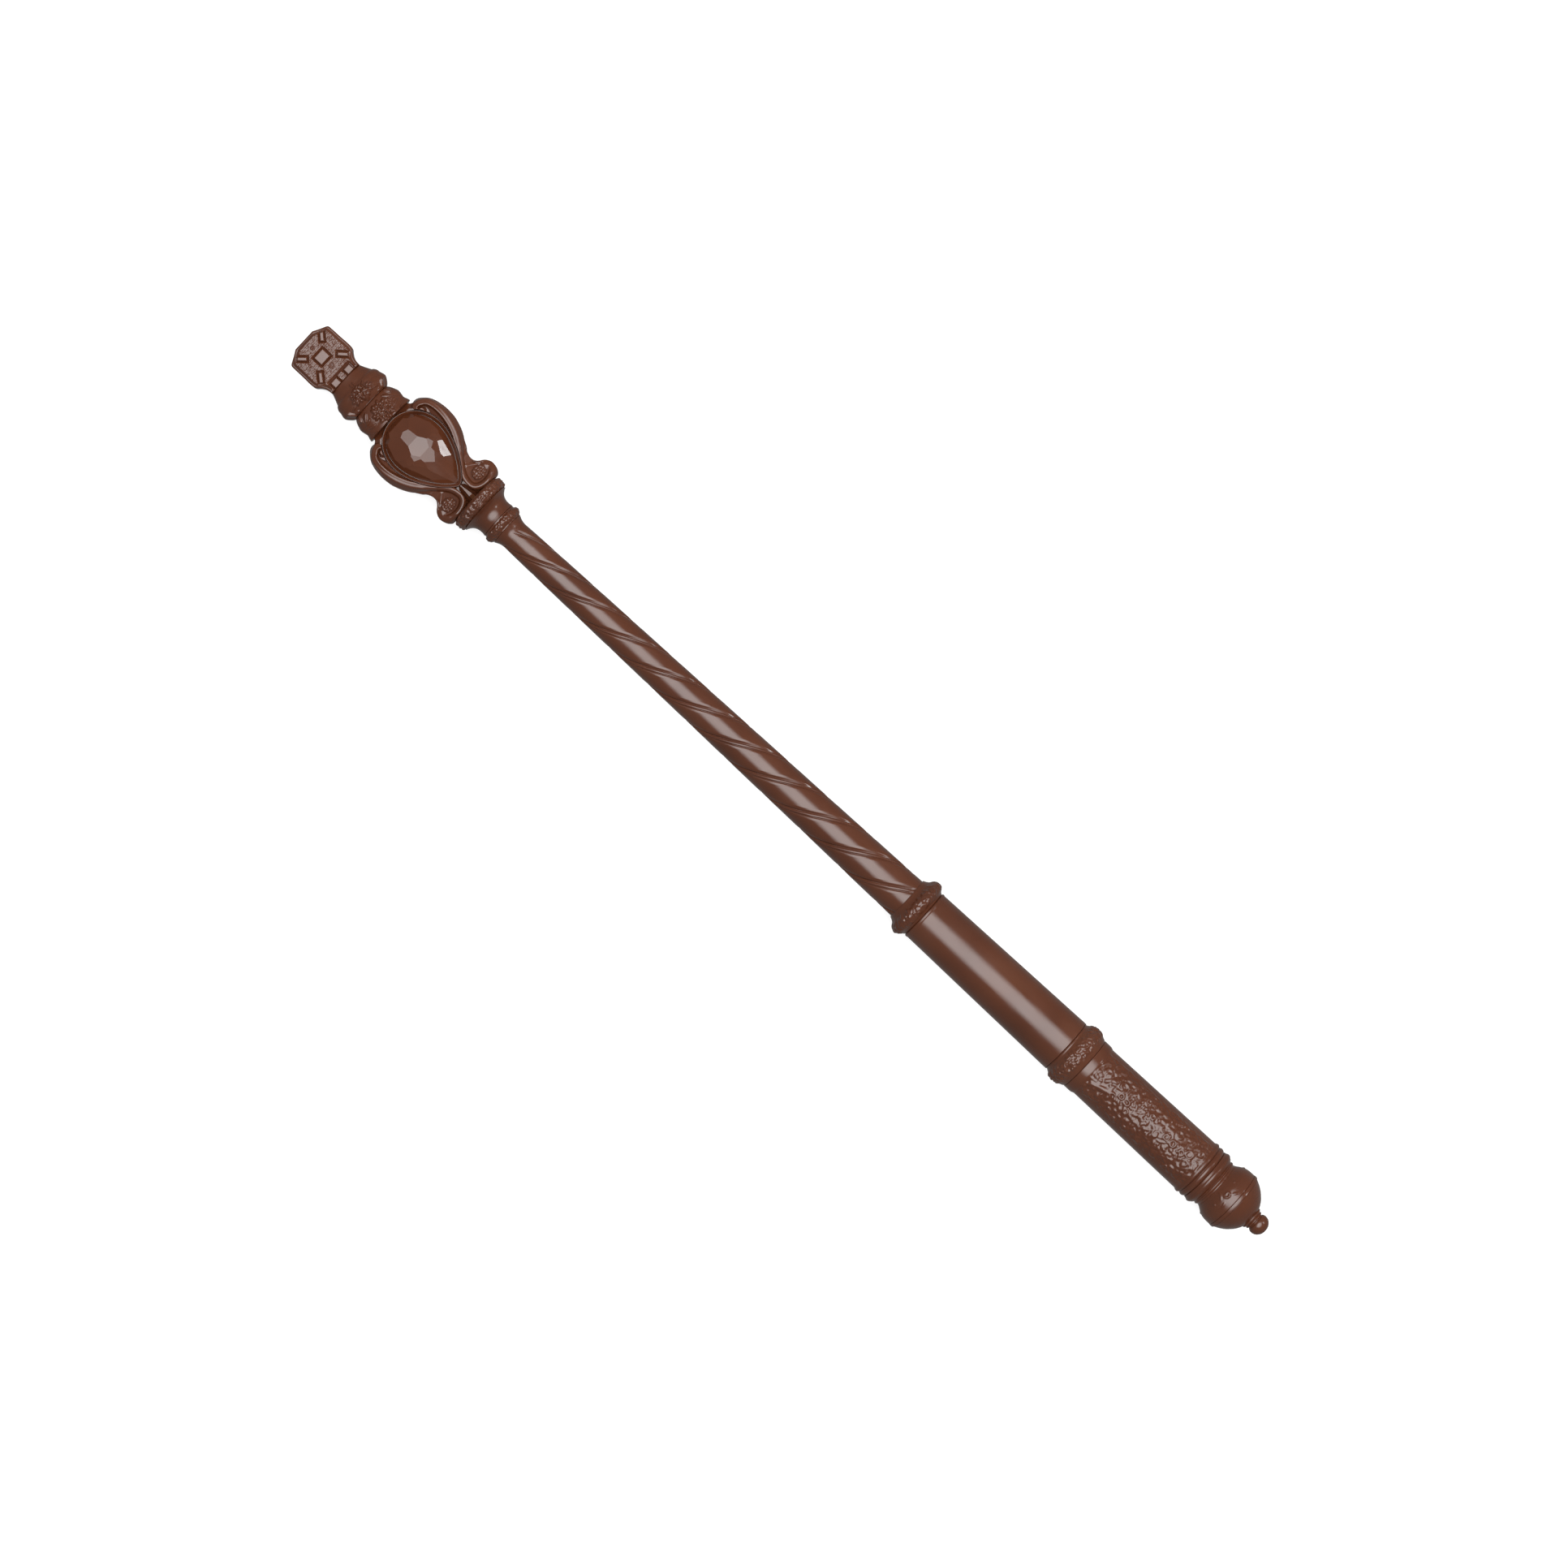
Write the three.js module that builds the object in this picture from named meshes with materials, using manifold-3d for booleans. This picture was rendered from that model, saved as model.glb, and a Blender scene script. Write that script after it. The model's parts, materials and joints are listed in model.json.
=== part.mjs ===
// A magic wand built from turned sections threaded on a steel tie rod.
//
// The wand lies along X with its tip at +X, and rests on its widest collar, so the axis is one
// collar radius above the ground plane. Inside the group every piece is drawn about the wand's
// axis, and X is the station: the distance from the tail end. Units are millimetres.

import * as THREE from 'three';
import { ConvexGeometry } from 'three/addons/geometries/ConvexGeometry.js';
import { mergeVertices } from 'three/addons/utils/BufferGeometryUtils.js';
import Module from 'manifold-3d';

const wasm = await Module();
wasm.setup();

// ---------------------------------------------------------------- driving dimensions

const LENGTH = 350;
const AXIS_HEIGHT = 9.4; // radius of the grip collar, the widest turned ring
const SIDES = 20; // facets round a turned piece, with flats facing up, down and sideways
const GAP = 0.1; // between two sections that meet end to end
const FIT = 0.12; // radial clearance of a glued or sliding fit
const BOND = 0.3; // between two pieces where one is shaped to the other

const ROD_RADIUS = 2; // M4 tie rod
const ROD_BORE = ROD_RADIUS + 0.2;
const ROD_KEYWAY = 1.45; // distance from the axis to the flat along the rod's rear thread
const ROD = { tail: 9, tip: 281, keyEnd: 27 };

const BUTTON = { neck: 2.8, knob: 3.05, front: 4.3, spigot: 1.6, spigotTip: 8 };
const BALL = {
  rear: 4.4, radius: 8.92, front: 17.6, frontRadius: 7.15,
  bandRear: 11.1, bandFront: 12.2, bandRadius: 8.95, rebate: 7.5,
  bossRadius: 3.4, lipRadius: 3.7, lipRear: 19.5, bossTip: 20.2,
};
const INSERT = { rear: 8.3, front: 16.9, radius: 4 };
const RING = { rear: 17.8, front: 22.2, groove: 7.2, bead: 8.32, lip: 19.3, pocket: 20.4 };
const END_RING = { rear: 22.3, front: 24.1, radius: 8.12 };

const CORE = { rear: 24.3, front: 124.3, radius: 5, socketRear: 111.8, socketRadius: 3.55 };
const GRIP = { rear: 24.2, front: 65.8, rearRadius: 8.58, frontRadius: 8.12 };
const COLLAR = { rear: 65.9, front: 72.8, base: 8.15, crest: 69.5 };
const HANDLE = { rear: 72.9, front: 124.4, rearRadius: 8.02, frontRadius: 7.4 };
const FERRULE = { rear: 124.5, front: 130.6, base: 7.45, crest: 8.9, tipBase: 6.5 };

const SHAFT = {
  rear: 130.7, front: 276, rearRadius: 6.2, frontRadius: 4.1, flare: 4.9, flareLength: 2.6,
  starts: 4, lead: 56, grooveDepth: 0.38, ridgeDepth: 0.12, spigotRear: 112, spigotRadius: 3.43,
};
const SHAFT_STEP = 3.5; // length of one ring of facets along the spiral

const NECK_RING = { rear: 276.1, front: 279.2, base: 5, crest: 5.87 };
const SPOOL = { rear: 279.3, front: 284.1, waist: 5.3, mouth: 7.6 };
const HEAD_COLLAR = { rear: 284.2, front: 287.6, base: 7.9, crest: 8.45 };

const SOCKET = { rear: 276.9, front: 287.5, radius: 4.2, slotRear: 281.3, mouthRear: 276.8 };
const TENON = { rear: 281.6, halfWidth: 3.6 };
const PIN = { station: 284.6, radius: 0.8, halfLength: 3.5 };

const PLATE = { rear: 287.7, halfThickness: 1.5, shoulder: 318.4, shoulderHalf: 6.6 };
const TONGUE = { tip: 328, halfWidth: 2.6 };
const DART = { rear: 288.2, front: 292.4, rearHalf: 0.75, frontHalf: 0.35, height: 1.5 };
const VOLUTE = { station: 291.8, offset: 6.1, radius: 4.1, eye: 1.5, height: 2 };
const ARM = { inner: 1.72, outer: 2.05, height: 2.5, bevel: 0.8 };
const GEM = { point: 294.2, round: 317.3, halfWidth: 7.8, seat: 0.12, pointedness: 0.685 };
const GEM_RINGS = [ // share of the outline and height above the plate, girdle to table
  { share: 1, height: 0.1, facets: 20 },
  { share: 1, height: 0.7, facets: 20 },
  { share: 0.72, height: 2.9, facets: 14 },
  { share: 0.42, height: 3.9, facets: 8 },
  { share: 0.17, height: 4.3, facets: 6 },
];
const BEZEL = { width: 1.1, clearance: 0.15, height: 1 };
const ROSETTE = { radius: 1.3, height: 2.4 };

const LEAF_COLLAR = { rear: 318.6, front: 325.6, flatness: 0.6 };
const CAPITAL = { rear: 325.7, front: 334.7, flatness: 0.66 };
const DOWEL = { rear: 328.6, front: 343, radius: 1.2 };
const PLAQUE = {
  rear: 334.8, neckFront: 336.4, wideRear: 340.4, wideFront: 347.7, neckHalf: 5.35,
  halfWidth: 7.45, endHalf: 3.4, halfThickness: 2.4, bevel: 0.5,
};
const PANEL = { inset: 0.55, bottom: 2.5, height: 0.9, bevel: 0.3 };

// ---------------------------------------------------------------- materials

const RESIN = new THREE.MeshStandardMaterial({ color: 0x69402f, roughness: 0.22, metalness: 0 });
const STEEL = new THREE.MeshStandardMaterial({ color: 0xb9bbbd, roughness: 0.35, metalness: 1 });
const BRASS = new THREE.MeshStandardMaterial({ color: 0xb58b3c, roughness: 0.3, metalness: 1 });
const BIRCH = new THREE.MeshStandardMaterial({ color: 0xc9a677, roughness: 0.7, metalness: 0 });

// ---------------------------------------------------------------- solids

/** A closed three.js geometry as a solid that can be joined and cut. */
function solidFrom(geometry) {
  geometry.deleteAttribute('normal');
  geometry.deleteAttribute('uv');
  const welded = mergeVertices(geometry, 1e-4);
  const corners = Array.from(welded.index.array);
  const triVerts = [];
  for (let i = 0; i < corners.length; i += 3) {
    const [a, b, c] = corners.slice(i, i + 3);
    if (a !== b && b !== c && c !== a) triVerts.push(a, b, c);
  }
  return new wasm.Manifold(new wasm.Mesh({
    numProp: 3,
    vertProperties: new Float32Array(welded.attributes.position.array),
    triVerts: new Uint32Array(triVerts),
  }));
}

/** A solid as a flat-shaded three.js geometry. */
function geometryFrom(solid) {
  const mesh = solid.getMesh();
  const indexed = new THREE.BufferGeometry();
  indexed.setAttribute('position', new THREE.BufferAttribute(mesh.vertProperties, 3));
  indexed.setIndex(new THREE.BufferAttribute(mesh.triVerts, 1));
  const flat = indexed.toNonIndexed();
  flat.computeVertexNormals();
  return flat;
}

/** Turns a closed [station, radius] outline about the axis; each flat lies at the given radius. */
function turned(outline) {
  const swell = 1 / Math.cos(Math.PI / SIDES);
  const points = outline.map(([station, radius]) => new THREE.Vector2(radius * swell, station));
  points.push(points[0].clone());
  const geometry = new THREE.LatheGeometry(points, SIDES, Math.PI / SIDES);
  geometry.rotateZ(-Math.PI / 2);
  return solidFrom(geometry);
}

/** A turned ring: its outside from tail to tip, and one straight bore. */
function ring(outside, bore) {
  const [first] = outside[0];
  const [last] = outside[outside.length - 1];
  return turned([...outside, [last, bore], [first, bore]]);
}

/** A turned solid with no bore. */
function plug(outside) {
  const [first] = outside[0];
  const [last] = outside[outside.length - 1];
  return turned([[first, 0], ...outside, [last, 0]]);
}

function cylinder(rear, front, radius) {
  return plug([[rear, radius], [front, radius]]);
}

/** Points on a cubic Bezier curve. */
function bezier(points, steps) {
  const corners = points.map(([x, y]) => new THREE.Vector2(x, y));
  return new THREE.CubicBezierCurve(...corners).getPoints(steps).map((p) => [p.x, p.y]);
}

function box(size, centre) {
  const geometry = new THREE.BoxGeometry(...size);
  geometry.translate(...centre);
  return solidFrom(geometry);
}

/** A flat outline as a plate about the Z = 0 plane, with an optional bevel round both faces. */
function plate(outline, halfThickness, bevel = 0) {
  const shape = new THREE.Shape(outline.map(([x, y]) => new THREE.Vector2(x, y)));
  const depth = 2 * (halfThickness - bevel);
  const geometry = new THREE.ExtrudeGeometry(shape, {
    depth, bevelEnabled: bevel > 0, bevelThickness: bevel, bevelSize: bevel, bevelOffset: -bevel,
    bevelSegments: 1,
  });
  geometry.translate(0, 0, -depth / 2);
  return solidFrom(geometry);
}

/** A flat outline raised from bottom to top, with an optional bevel round its upper edge. */
function raised(outline, bottom, top, bevel = 0) {
  const reach = 2 * LENGTH;
  const below = box([reach, reach, reach], [0, 0, bottom - reach / 2]);
  return plate(outline, top, bevel).subtract(below);
}

/** Both halves of an outline that is drawn on the +Y side, from tail to tip. */
function mirrored(half) {
  return [...half, ...half.map(([x, y]) => [x, -y]).reverse()];
}

function circle(station, offset, radius, corners) {
  return Array.from({ length: corners }, (_, i) => {
    const angle = (2 * Math.PI * (i + 0.5)) / corners;
    return [station + radius * Math.cos(angle), offset + radius * Math.sin(angle)];
  });
}

// ---------------------------------------------------------------- assembly

const wand = new THREE.Group();
wand.position.set(-LENGTH / 2, 0, AXIS_HEIGHT);

function add(name, solid, material = RESIN) {
  const mesh = new THREE.Mesh(geometryFrom(solid), material);
  mesh.name = name;
  wand.add(mesh);
  return mesh;
}

// ---------------------------------------------------------------- pommel

function tailButton() {
  const { neck, knob, front, spigot, spigotTip } = BUTTON;
  return plug([
    [0, 0.8], [0.5, 1.8], [1.3, 2.65], [2.3, knob], [3.2, 2.95], [3.7, neck], [front, 2.9],
    [front, spigot], [spigotTip, spigot],
  ]);
}

function pommelRearHalf() {
  const { rear, bandRear, radius, rebate } = BALL;
  const face = bandRear - GAP;
  const seam = (bandRear + BALL.bandFront) / 2 - GAP / 2;
  const cavity = INSERT.rear - GAP;
  return turned([
    ...bezier([[rear, 2.95], [5.5, 3.2], [7.7, 8.05], [face, radius - 0.1]], 7),
    [face, rebate], [seam, rebate], [seam, INSERT.radius + FIT], [cavity, INSERT.radius + FIT],
    [cavity, BUTTON.spigot + FIT], [rear, BUTTON.spigot + FIT],
  ]);
}

function pommelBand() {
  const { bandRear, bandFront, bandRadius, rebate } = BALL;
  const middle = (bandRear + bandFront) / 2;
  return ring(
    [[bandRear, BALL.radius - 0.1], [middle, bandRadius], [bandFront, BALL.radius - 0.05]],
    rebate + FIT,
  );
}

function pommelFrontHalf() {
  const { bandFront, front, frontRadius, rebate, radius } = BALL;
  const { bossRadius, lipRadius, lipRear, bossTip } = BALL;
  const face = bandFront + GAP;
  const seam = (BALL.bandRear + bandFront) / 2 + GAP / 2;
  const cavity = INSERT.front + GAP;
  return turned([
    [seam, rebate], [face, rebate],
    ...bezier([[face, radius], [14.3, 8.9], [16.4, 8.4], [front - 0.3, frontRadius]], 5),
    [front, frontRadius], [front, bossRadius], [lipRear, bossRadius], [lipRear, lipRadius],
    [bossTip, lipRadius], [bossTip, ROD_BORE + FIT], [cavity, ROD_BORE + FIT],
    [cavity, INSERT.radius + FIT], [seam, INSERT.radius + FIT],
  ]);
}

function pommelInsert() {
  const { rear, front, radius } = INSERT;
  return ring([[rear, radius], [front, radius]], ROD_RADIUS + FIT);
}

/** The captive ring: its flatted bore slides on the rod's keyway, and the pommel turns in it. */
function pommelRing() {
  const { rear, front, groove, bead, lip, pocket } = RING;
  const body = turned([
    [rear, groove], [rear + 1, groove], [rear + 1.5, 7.45], [20.6, bead], [21.4, bead], [front, 8],
    [front, ROD_BORE], [pocket, ROD_BORE], [pocket, BALL.lipRadius + 2 * FIT],
    [lip, BALL.lipRadius + 2 * FIT], [lip, BALL.bossRadius + FIT], [rear, BALL.bossRadius + FIT],
  ]);
  const keyBottom = ROD_KEYWAY + FIT;
  const keyLength = front - pocket;
  return body.add(box(
    [keyLength, 2 * ROD_RADIUS, 1], [pocket + keyLength / 2, 0, keyBottom + 0.5],
  ));
}

function tieRod() {
  const { tail, tip, keyEnd } = ROD;
  const keyDepth = ROD_RADIUS - ROD_KEYWAY + 1;
  const key = box(
    [keyEnd - tail + 2, 2 * ROD_RADIUS + 1, keyDepth],
    [(keyEnd + tail - 2) / 2, 0, ROD_KEYWAY + keyDepth / 2],
  );
  const chamfer = 0.4;
  return plug([
    [tail, ROD_RADIUS - chamfer], [tail + chamfer, ROD_RADIUS], [tip, ROD_RADIUS],
  ]).subtract(key);
}

add('tail_button', tailButton());
add('pommel_rear_half', pommelRearHalf());
add('pommel_band', pommelBand());
add('pommel_front_half', pommelFrontHalf());
add('pommel_insert', pommelInsert(), BRASS);
add('pommel_ring', pommelRing());
add('tie_rod', tieRod(), STEEL);

// ---------------------------------------------------------------- grip and handle

function gripEndRing() {
  const { rear, front, radius } = END_RING;
  return ring([[rear, 7.9], [rear + 0.9, radius], [front, 8.2]], ROD_BORE);
}

function handleCore() {
  const { rear, front, radius, socketRear, socketRadius } = CORE;
  return turned([
    [rear, radius], [front, radius], [front, socketRadius], [socketRear, socketRadius],
    [socketRear, ROD_BORE], [rear, ROD_BORE],
  ]);
}

function sleeve({ rear, front, rearRadius, frontRadius }) {
  return ring([[rear, rearRadius], [front, frontRadius]], CORE.radius + FIT);
}

function gripCollar() {
  const { rear, front, base, crest } = COLLAR;
  const rise = 1.05;
  return ring([
    [rear, base], [rear + rise, 8.5], [crest - 1.2, 9.2], [crest, AXIS_HEIGHT],
    [crest + 1.1, 9.1], [front - rise, 8.5], [front, base],
  ], CORE.radius + FIT);
}

function shaftFerrule() {
  const { rear, front, base, crest, tipBase } = FERRULE;
  const middle = (rear + front) / 2;
  return ring([
    [rear, base], [rear + 1.2, base + 0.25], [middle - 0.3, crest], [middle + 0.3, crest],
    [front - 1.2, tipBase + 0.7], [front, tipBase],
  ], CORE.socketRadius);
}

add('grip_end_ring', gripEndRing());
add('handle_core', handleCore(), BIRCH);
add('embossed_grip', sleeve(GRIP));
add('grip_collar', gripCollar());
add('plain_handle', sleeve(HANDLE));
add('shaft_ferrule', shaftFerrule());

// ---------------------------------------------------------------- spiral shaft

/** The shaft's plain radius at a station, with a small flare where it meets the neck ring. */
function shaftRadius(station) {
  const { rear, front, rearRadius, frontRadius, flare, flareLength } = SHAFT;
  const share = (station - rear) / (front - rear);
  const taper = rearRadius + (frontRadius - rearRadius) * share;
  const near = Math.max(0, 1 - (front - station) / flareLength);
  return taper + (flare - frontRadius) * near * near;
}

/** Four left-handed starts, each a pair of grooves with a narrow ridge between them. */
function spiralShaft() {
  const { rear, front, starts, lead, grooveDepth, ridgeDepth } = SHAFT;
  const cuts = [0, 0, 0, grooveDepth, ridgeDepth, grooveDepth];
  const around = starts * cuts.length;
  const steps = Math.round((front - rear) / SHAFT_STEP);
  const positions = [];
  const index = [];
  for (let s = 0; s <= steps; s++) {
    const station = rear + ((front - rear) * s) / steps;
    const twist = (-2 * Math.PI * (station - rear)) / lead;
    for (let i = 0; i < around; i++) {
      const angle = twist + (2 * Math.PI * i) / around;
      const radius = shaftRadius(station) - cuts[i % cuts.length];
      positions.push(station, radius * Math.cos(angle), radius * Math.sin(angle));
    }
  }
  for (let s = 0; s < steps; s++) {
    for (let i = 0; i < around; i++) {
      const a = s * around + i;
      const b = s * around + ((i + 1) % around);
      index.push(a, b, b + around, a, b + around, a + around);
    }
  }
  const tailCentre = positions.length / 3;
  positions.push(rear, 0, 0, front, 0, 0);
  for (let i = 0; i < around; i++) {
    const next = (i + 1) % around;
    index.push(tailCentre, next, i);
    index.push(tailCentre + 1, steps * around + i, steps * around + next);
  }
  const geometry = new THREE.BufferGeometry();
  geometry.setAttribute('position', new THREE.Float32BufferAttribute(positions, 3));
  geometry.setIndex(index);
  const spigot = cylinder(SHAFT.spigotRear, rear + 1, SHAFT.spigotRadius);
  const bore = cylinder(SHAFT.spigotRear - 1, front + 1, ROD_BORE);
  return solidFrom(geometry).add(spigot).subtract(bore);
}

add('spiral_shaft', spiralShaft());

// ---------------------------------------------------------------- neck

function neckRing() {
  const { rear, front, base, crest } = NECK_RING;
  return turned([
    [rear, base], [rear + 1.3, crest], [rear + 1.9, crest], [front - 0.4, 5.5], [front, 5.4],
    [front, SOCKET.radius + FIT], [SOCKET.mouthRear, SOCKET.radius + FIT],
    [SOCKET.mouthRear, ROD_BORE], [rear, ROD_BORE],
  ]);
}

function neckSpool() {
  const { rear, front, waist, mouth } = SPOOL;
  return ring([
    [rear, waist + 0.05],
    ...bezier([[rear + 0.9, waist], [282.4, waist + 0.05], [283.3, 6], [front, mouth]], 5),
  ], SOCKET.radius + FIT);
}

function headCollar() {
  const { rear, front, base, crest } = HEAD_COLLAR;
  return ring(
    [[rear, base], [rear + 0.7, 8.3], [rear + 1.6, crest], [front - 0.8, crest], [front, 8.3]],
    SOCKET.radius + FIT,
  );
}

/** A brass fork: the tie rod screws into its rear, and the head's tenon is pinned in its slot. */
function headSocket() {
  const { rear, front, radius, slotRear } = SOCKET;
  const slotLength = front - slotRear + 1;
  const slot = box(
    [slotLength, 3 * radius, 2 * (PLATE.halfThickness + FIT)], [slotRear + slotLength / 2, 0, 0],
  );
  return ring([[rear, radius], [front, radius]], ROD_RADIUS + FIT)
    .subtract(slot)
    .subtract(crossPin(PIN.radius + FIT, 2 * radius));
}

function crossPin(radius, halfLength) {
  const geometry = new THREE.CylinderGeometry(radius, radius, 2 * halfLength, 12);
  geometry.rotateX(Math.PI / 2);
  geometry.translate(PIN.station, 0, 0);
  return solidFrom(geometry);
}

add('neck_ring', neckRing());
add('neck_spool', neckSpool());
add('head_collar', headCollar());
add('head_socket', headSocket(), BRASS);
add('head_pin', crossPin(PIN.radius, PIN.halfLength), STEEL);

// ---------------------------------------------------------------- head

/** A pear outline with its point towards the tail, grown outward by a margin. */
function pear(margin, corners, share = 1, turn = 0) {
  const { point, round, halfWidth, pointedness } = GEM;
  const middle = (point + round) / 2;
  const half = (round - point) / 2 + margin;
  // The widest place of sin(a) * sin(a / 2) ** p is where cos(a) is -p / (2 + p).
  const widest = Math.acos(-pointedness / (2 + pointedness));
  const peak = Math.sin(widest) * Math.sin(widest / 2) ** pointedness;
  return Array.from({ length: corners }, (_, i) => {
    const angle = (2 * Math.PI * (i + turn)) / corners;
    const bulge = Math.sin(angle) * Math.abs(Math.sin(angle / 2)) ** pointedness;
    const station = middle - half * Math.cos(angle) * share;
    return [station, ((halfWidth + margin) * bulge * share) / peak];
  });
}

/** The ridge of one scroll arm, from the hook beside the gem to where the volute begins. */
function armCrest() {
  const hook = bezier([[315.4, 6.2], [316.3, 6.6], [316.5, 7.6], [315.9, 8.6]], 3);
  const bend = bezier([[315.9, 8.6], [315.3, 10.2], [312.3, 10.68], [309.4, 10.68]], 5);
  const sweep = bezier([[309.4, 10.68], [303, 10.9], [298.4, 3.9], [291.7, 2.6]], 9);
  return [...hook, ...bend.slice(1), ...sweep.slice(1)];
}

/** A curve moved sideways: towards its left if the distance is positive. */
function offsetCurve(points, distance) {
  return points.map(([x, y], i) => {
    const before = points[Math.max(0, i - 1)];
    const after = points[Math.min(points.length - 1, i + 1)];
    const along = new THREE.Vector2(after[0] - before[0], after[1] - before[1]).normalize();
    return [x - along.y * distance, y + along.x * distance];
  });
}

function scrollArm(side) {
  const { halfThickness } = PLATE;
  const seat = halfThickness + GAP;
  const crest = armCrest();
  const outline = [
    ...offsetCurve(crest, -ARM.outer), ...offsetCurve(crest, ARM.inner).reverse(),
  ].map(([x, y]) => [x, side * y]);
  const { station, offset, radius, eye, height } = VOLUTE;
  const disc = circle(station, side * offset, radius, 20);
  const pocket = raised(pear(BEZEL.width + BOND, 40), 0, 2 * AXIS_HEIGHT);
  const dartRoom = box([12, 2 * (DART.rearHalf + BOND), 20], [PLATE.rear + 2, 0, 0]);
  return raised(outline, seat, seat + ARM.height, ARM.bevel)
    .add(raised(disc, seat, seat + height, ARM.bevel))
    .subtract(raised(circle(station, side * offset, eye, 16), 0, 2 * AXIS_HEIGHT))
    .subtract(pocket)
    .subtract(dartRoom);
}

/** The flat core of the head: the lyre's outline, a rear tenon, a front tongue and two darts. */
function headPlate() {
  const { rear, halfThickness, shoulder, shoulderHalf } = PLATE;
  const { station, offset, radius } = VOLUTE;
  const turn = (degrees) => {
    const angle = THREE.MathUtils.degToRad(degrees);
    const reach = radius - GAP;
    return [station + reach * Math.cos(angle), offset + reach * Math.sin(angle)];
  };
  const half = [
    [TENON.rear, TENON.halfWidth], [rear, TENON.halfWidth],
    ...[180, 155, 130, 105, 80, 55, 30].map(turn),
    ...bezier([[296.4, 7.2], [299.5, 7.6], [301.5, 12.6], [309.4, 12.6]], 8),
    ...bezier([[309.4, 12.6], [314, 12.6], [317, 11], [shoulder - 0.9, 8.2]], 6).slice(1),
    [shoulder, shoulderHalf], [shoulder, TONGUE.halfWidth], [TONGUE.tip, TONGUE.halfWidth],
  ];
  const core = plate(mirrored(half), halfThickness);
  const dart = mirrored([[DART.rear, DART.rearHalf], [DART.front, DART.frontHalf]]);
  const top = halfThickness + DART.height;
  return core.add(plate(dart, top)).subtract(crossPin(PIN.radius + FIT, 2 * top));
}

function gem() {
  const seat = PLATE.halfThickness;
  const points = [];
  GEM_RINGS.forEach(({ share, height, facets }, i) => {
    const margin = share === 1 ? -GEM.seat : 0;
    for (const [x, y] of pear(margin, facets, share, i > 1 ? 0.5 * (i % 2) : 0)) {
      points.push(new THREE.Vector3(x, y, seat + height));
    }
  });
  return solidFrom(new ConvexGeometry(points));
}

function gemBezel() {
  const seat = PLATE.halfThickness + GAP;
  const hole = raised(pear(BEZEL.clearance, 40), 0, 2 * AXIS_HEIGHT);
  return raised(pear(BEZEL.width, 40), seat, seat + BEZEL.height).subtract(hole);
}

function rosette(side) {
  const { radius, height } = ROSETTE;
  const seat = PLATE.halfThickness + GAP;
  const outline = circle(VOLUTE.station, side * VOLUTE.offset, radius, 12);
  return raised(outline, seat, seat + height, 0.4);
}

/** Adds a piece to the front face, and the same piece turned over to the back face. */
function addToBothFaces(name, solid) {
  add(`${name}_front`, solid);
  add(`${name}_back`, solid).rotation.x = Math.PI;
}

add('head_plate', headPlate());
addToBothFaces('scroll_arm_left', scrollArm(1));
addToBothFaces('scroll_arm_right', scrollArm(-1));
addToBothFaces('volute_rosette_left', rosette(1));
addToBothFaces('volute_rosette_right', rosette(-1));
addToBothFaces('gem_bezel', gemBezel());
addToBothFaces('gem', gem());

// ---------------------------------------------------------------- leaf collar, capital, plaque

/** A ring squashed in Z, with room for the head's tongue. */
function flattened(outside, flatness, slotFront) {
  const outline = [...outside];
  const [first] = outline[0];
  const [last] = outline[outline.length - 1];
  const swell = 1 / Math.cos(Math.PI / SIDES);
  const points = [[first, 0], ...outline, [last, 0]]
    .map(([station, radius]) => new THREE.Vector2(radius * swell, station));
  const geometry = new THREE.LatheGeometry(points, SIDES, Math.PI / SIDES);
  geometry.rotateZ(-Math.PI / 2);
  geometry.scale(1, 1, flatness);
  const slotLength = slotFront - first + 1;
  const slot = box(
    [slotLength, 2 * (TONGUE.halfWidth + FIT), 2 * (PLATE.halfThickness + FIT)],
    [first - 1 + slotLength / 2, 0, 0],
  );
  return solidFrom(geometry).subtract(slot);
}

function leafCollar() {
  const { rear, front, flatness } = LEAF_COLLAR;
  return flattened(
    [[rear, 7.8], [320.2, 7.15], [322.3, 7.4], [323.4, 7.2], [325, 6.6], [front, 6.6]],
    flatness, front + 1,
  );
}

function leafCapital() {
  const { rear, front, flatness } = CAPITAL;
  return flattened([
    [rear, 6.7], [326.6, 7.3], [328.3, 8], [330.4, 7.6], [331.6, 6.8], [332.6, 6.2],
    [333.8, 5.65], [front, 5.4],
  ], flatness, TONGUE.tip + GAP).subtract(cylinder(rear, front + 1, DOWEL.radius + FIT));
}

function plaqueHalfOutline(inset) {
  const { rear, neckFront, wideRear, wideFront, neckHalf, halfWidth, endHalf } = PLAQUE;
  return [
    [rear + inset, neckHalf - inset], [neckFront, neckHalf - inset],
    [wideRear, halfWidth - inset], [wideFront - inset / 3, halfWidth - inset],
    [LENGTH - inset, endHalf - inset / 3],
  ];
}

function plaqueCore() {
  const bore = cylinder(PLAQUE.rear - 1, DOWEL.front + GAP, DOWEL.radius + FIT);
  const outline = mirrored(plaqueHalfOutline(0));
  return plate(outline, PLAQUE.halfThickness, PLAQUE.bevel).subtract(bore);
}

function plaquePanel() {
  const { inset, bottom, height, bevel } = PANEL;
  return raised(mirrored(plaqueHalfOutline(inset)), bottom, bottom + height, bevel);
}

add('leaf_collar', leafCollar());
add('leaf_capital', leafCapital());
add('tip_dowel', cylinder(DOWEL.rear, DOWEL.front, DOWEL.radius), STEEL);
add('plaque_core', plaqueCore());
addToBothFaces('plaque_panel', plaquePanel());

export default wand;
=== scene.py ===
"""Looks of the magic wand: one glossy chocolate-brown casting in turned sections.

Lengths inside the shape code are millimetres. A station is the distance from the wand's tail end
along its axis; y runs across the head and z is the height above the axis.
"""

import json
import math

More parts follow.
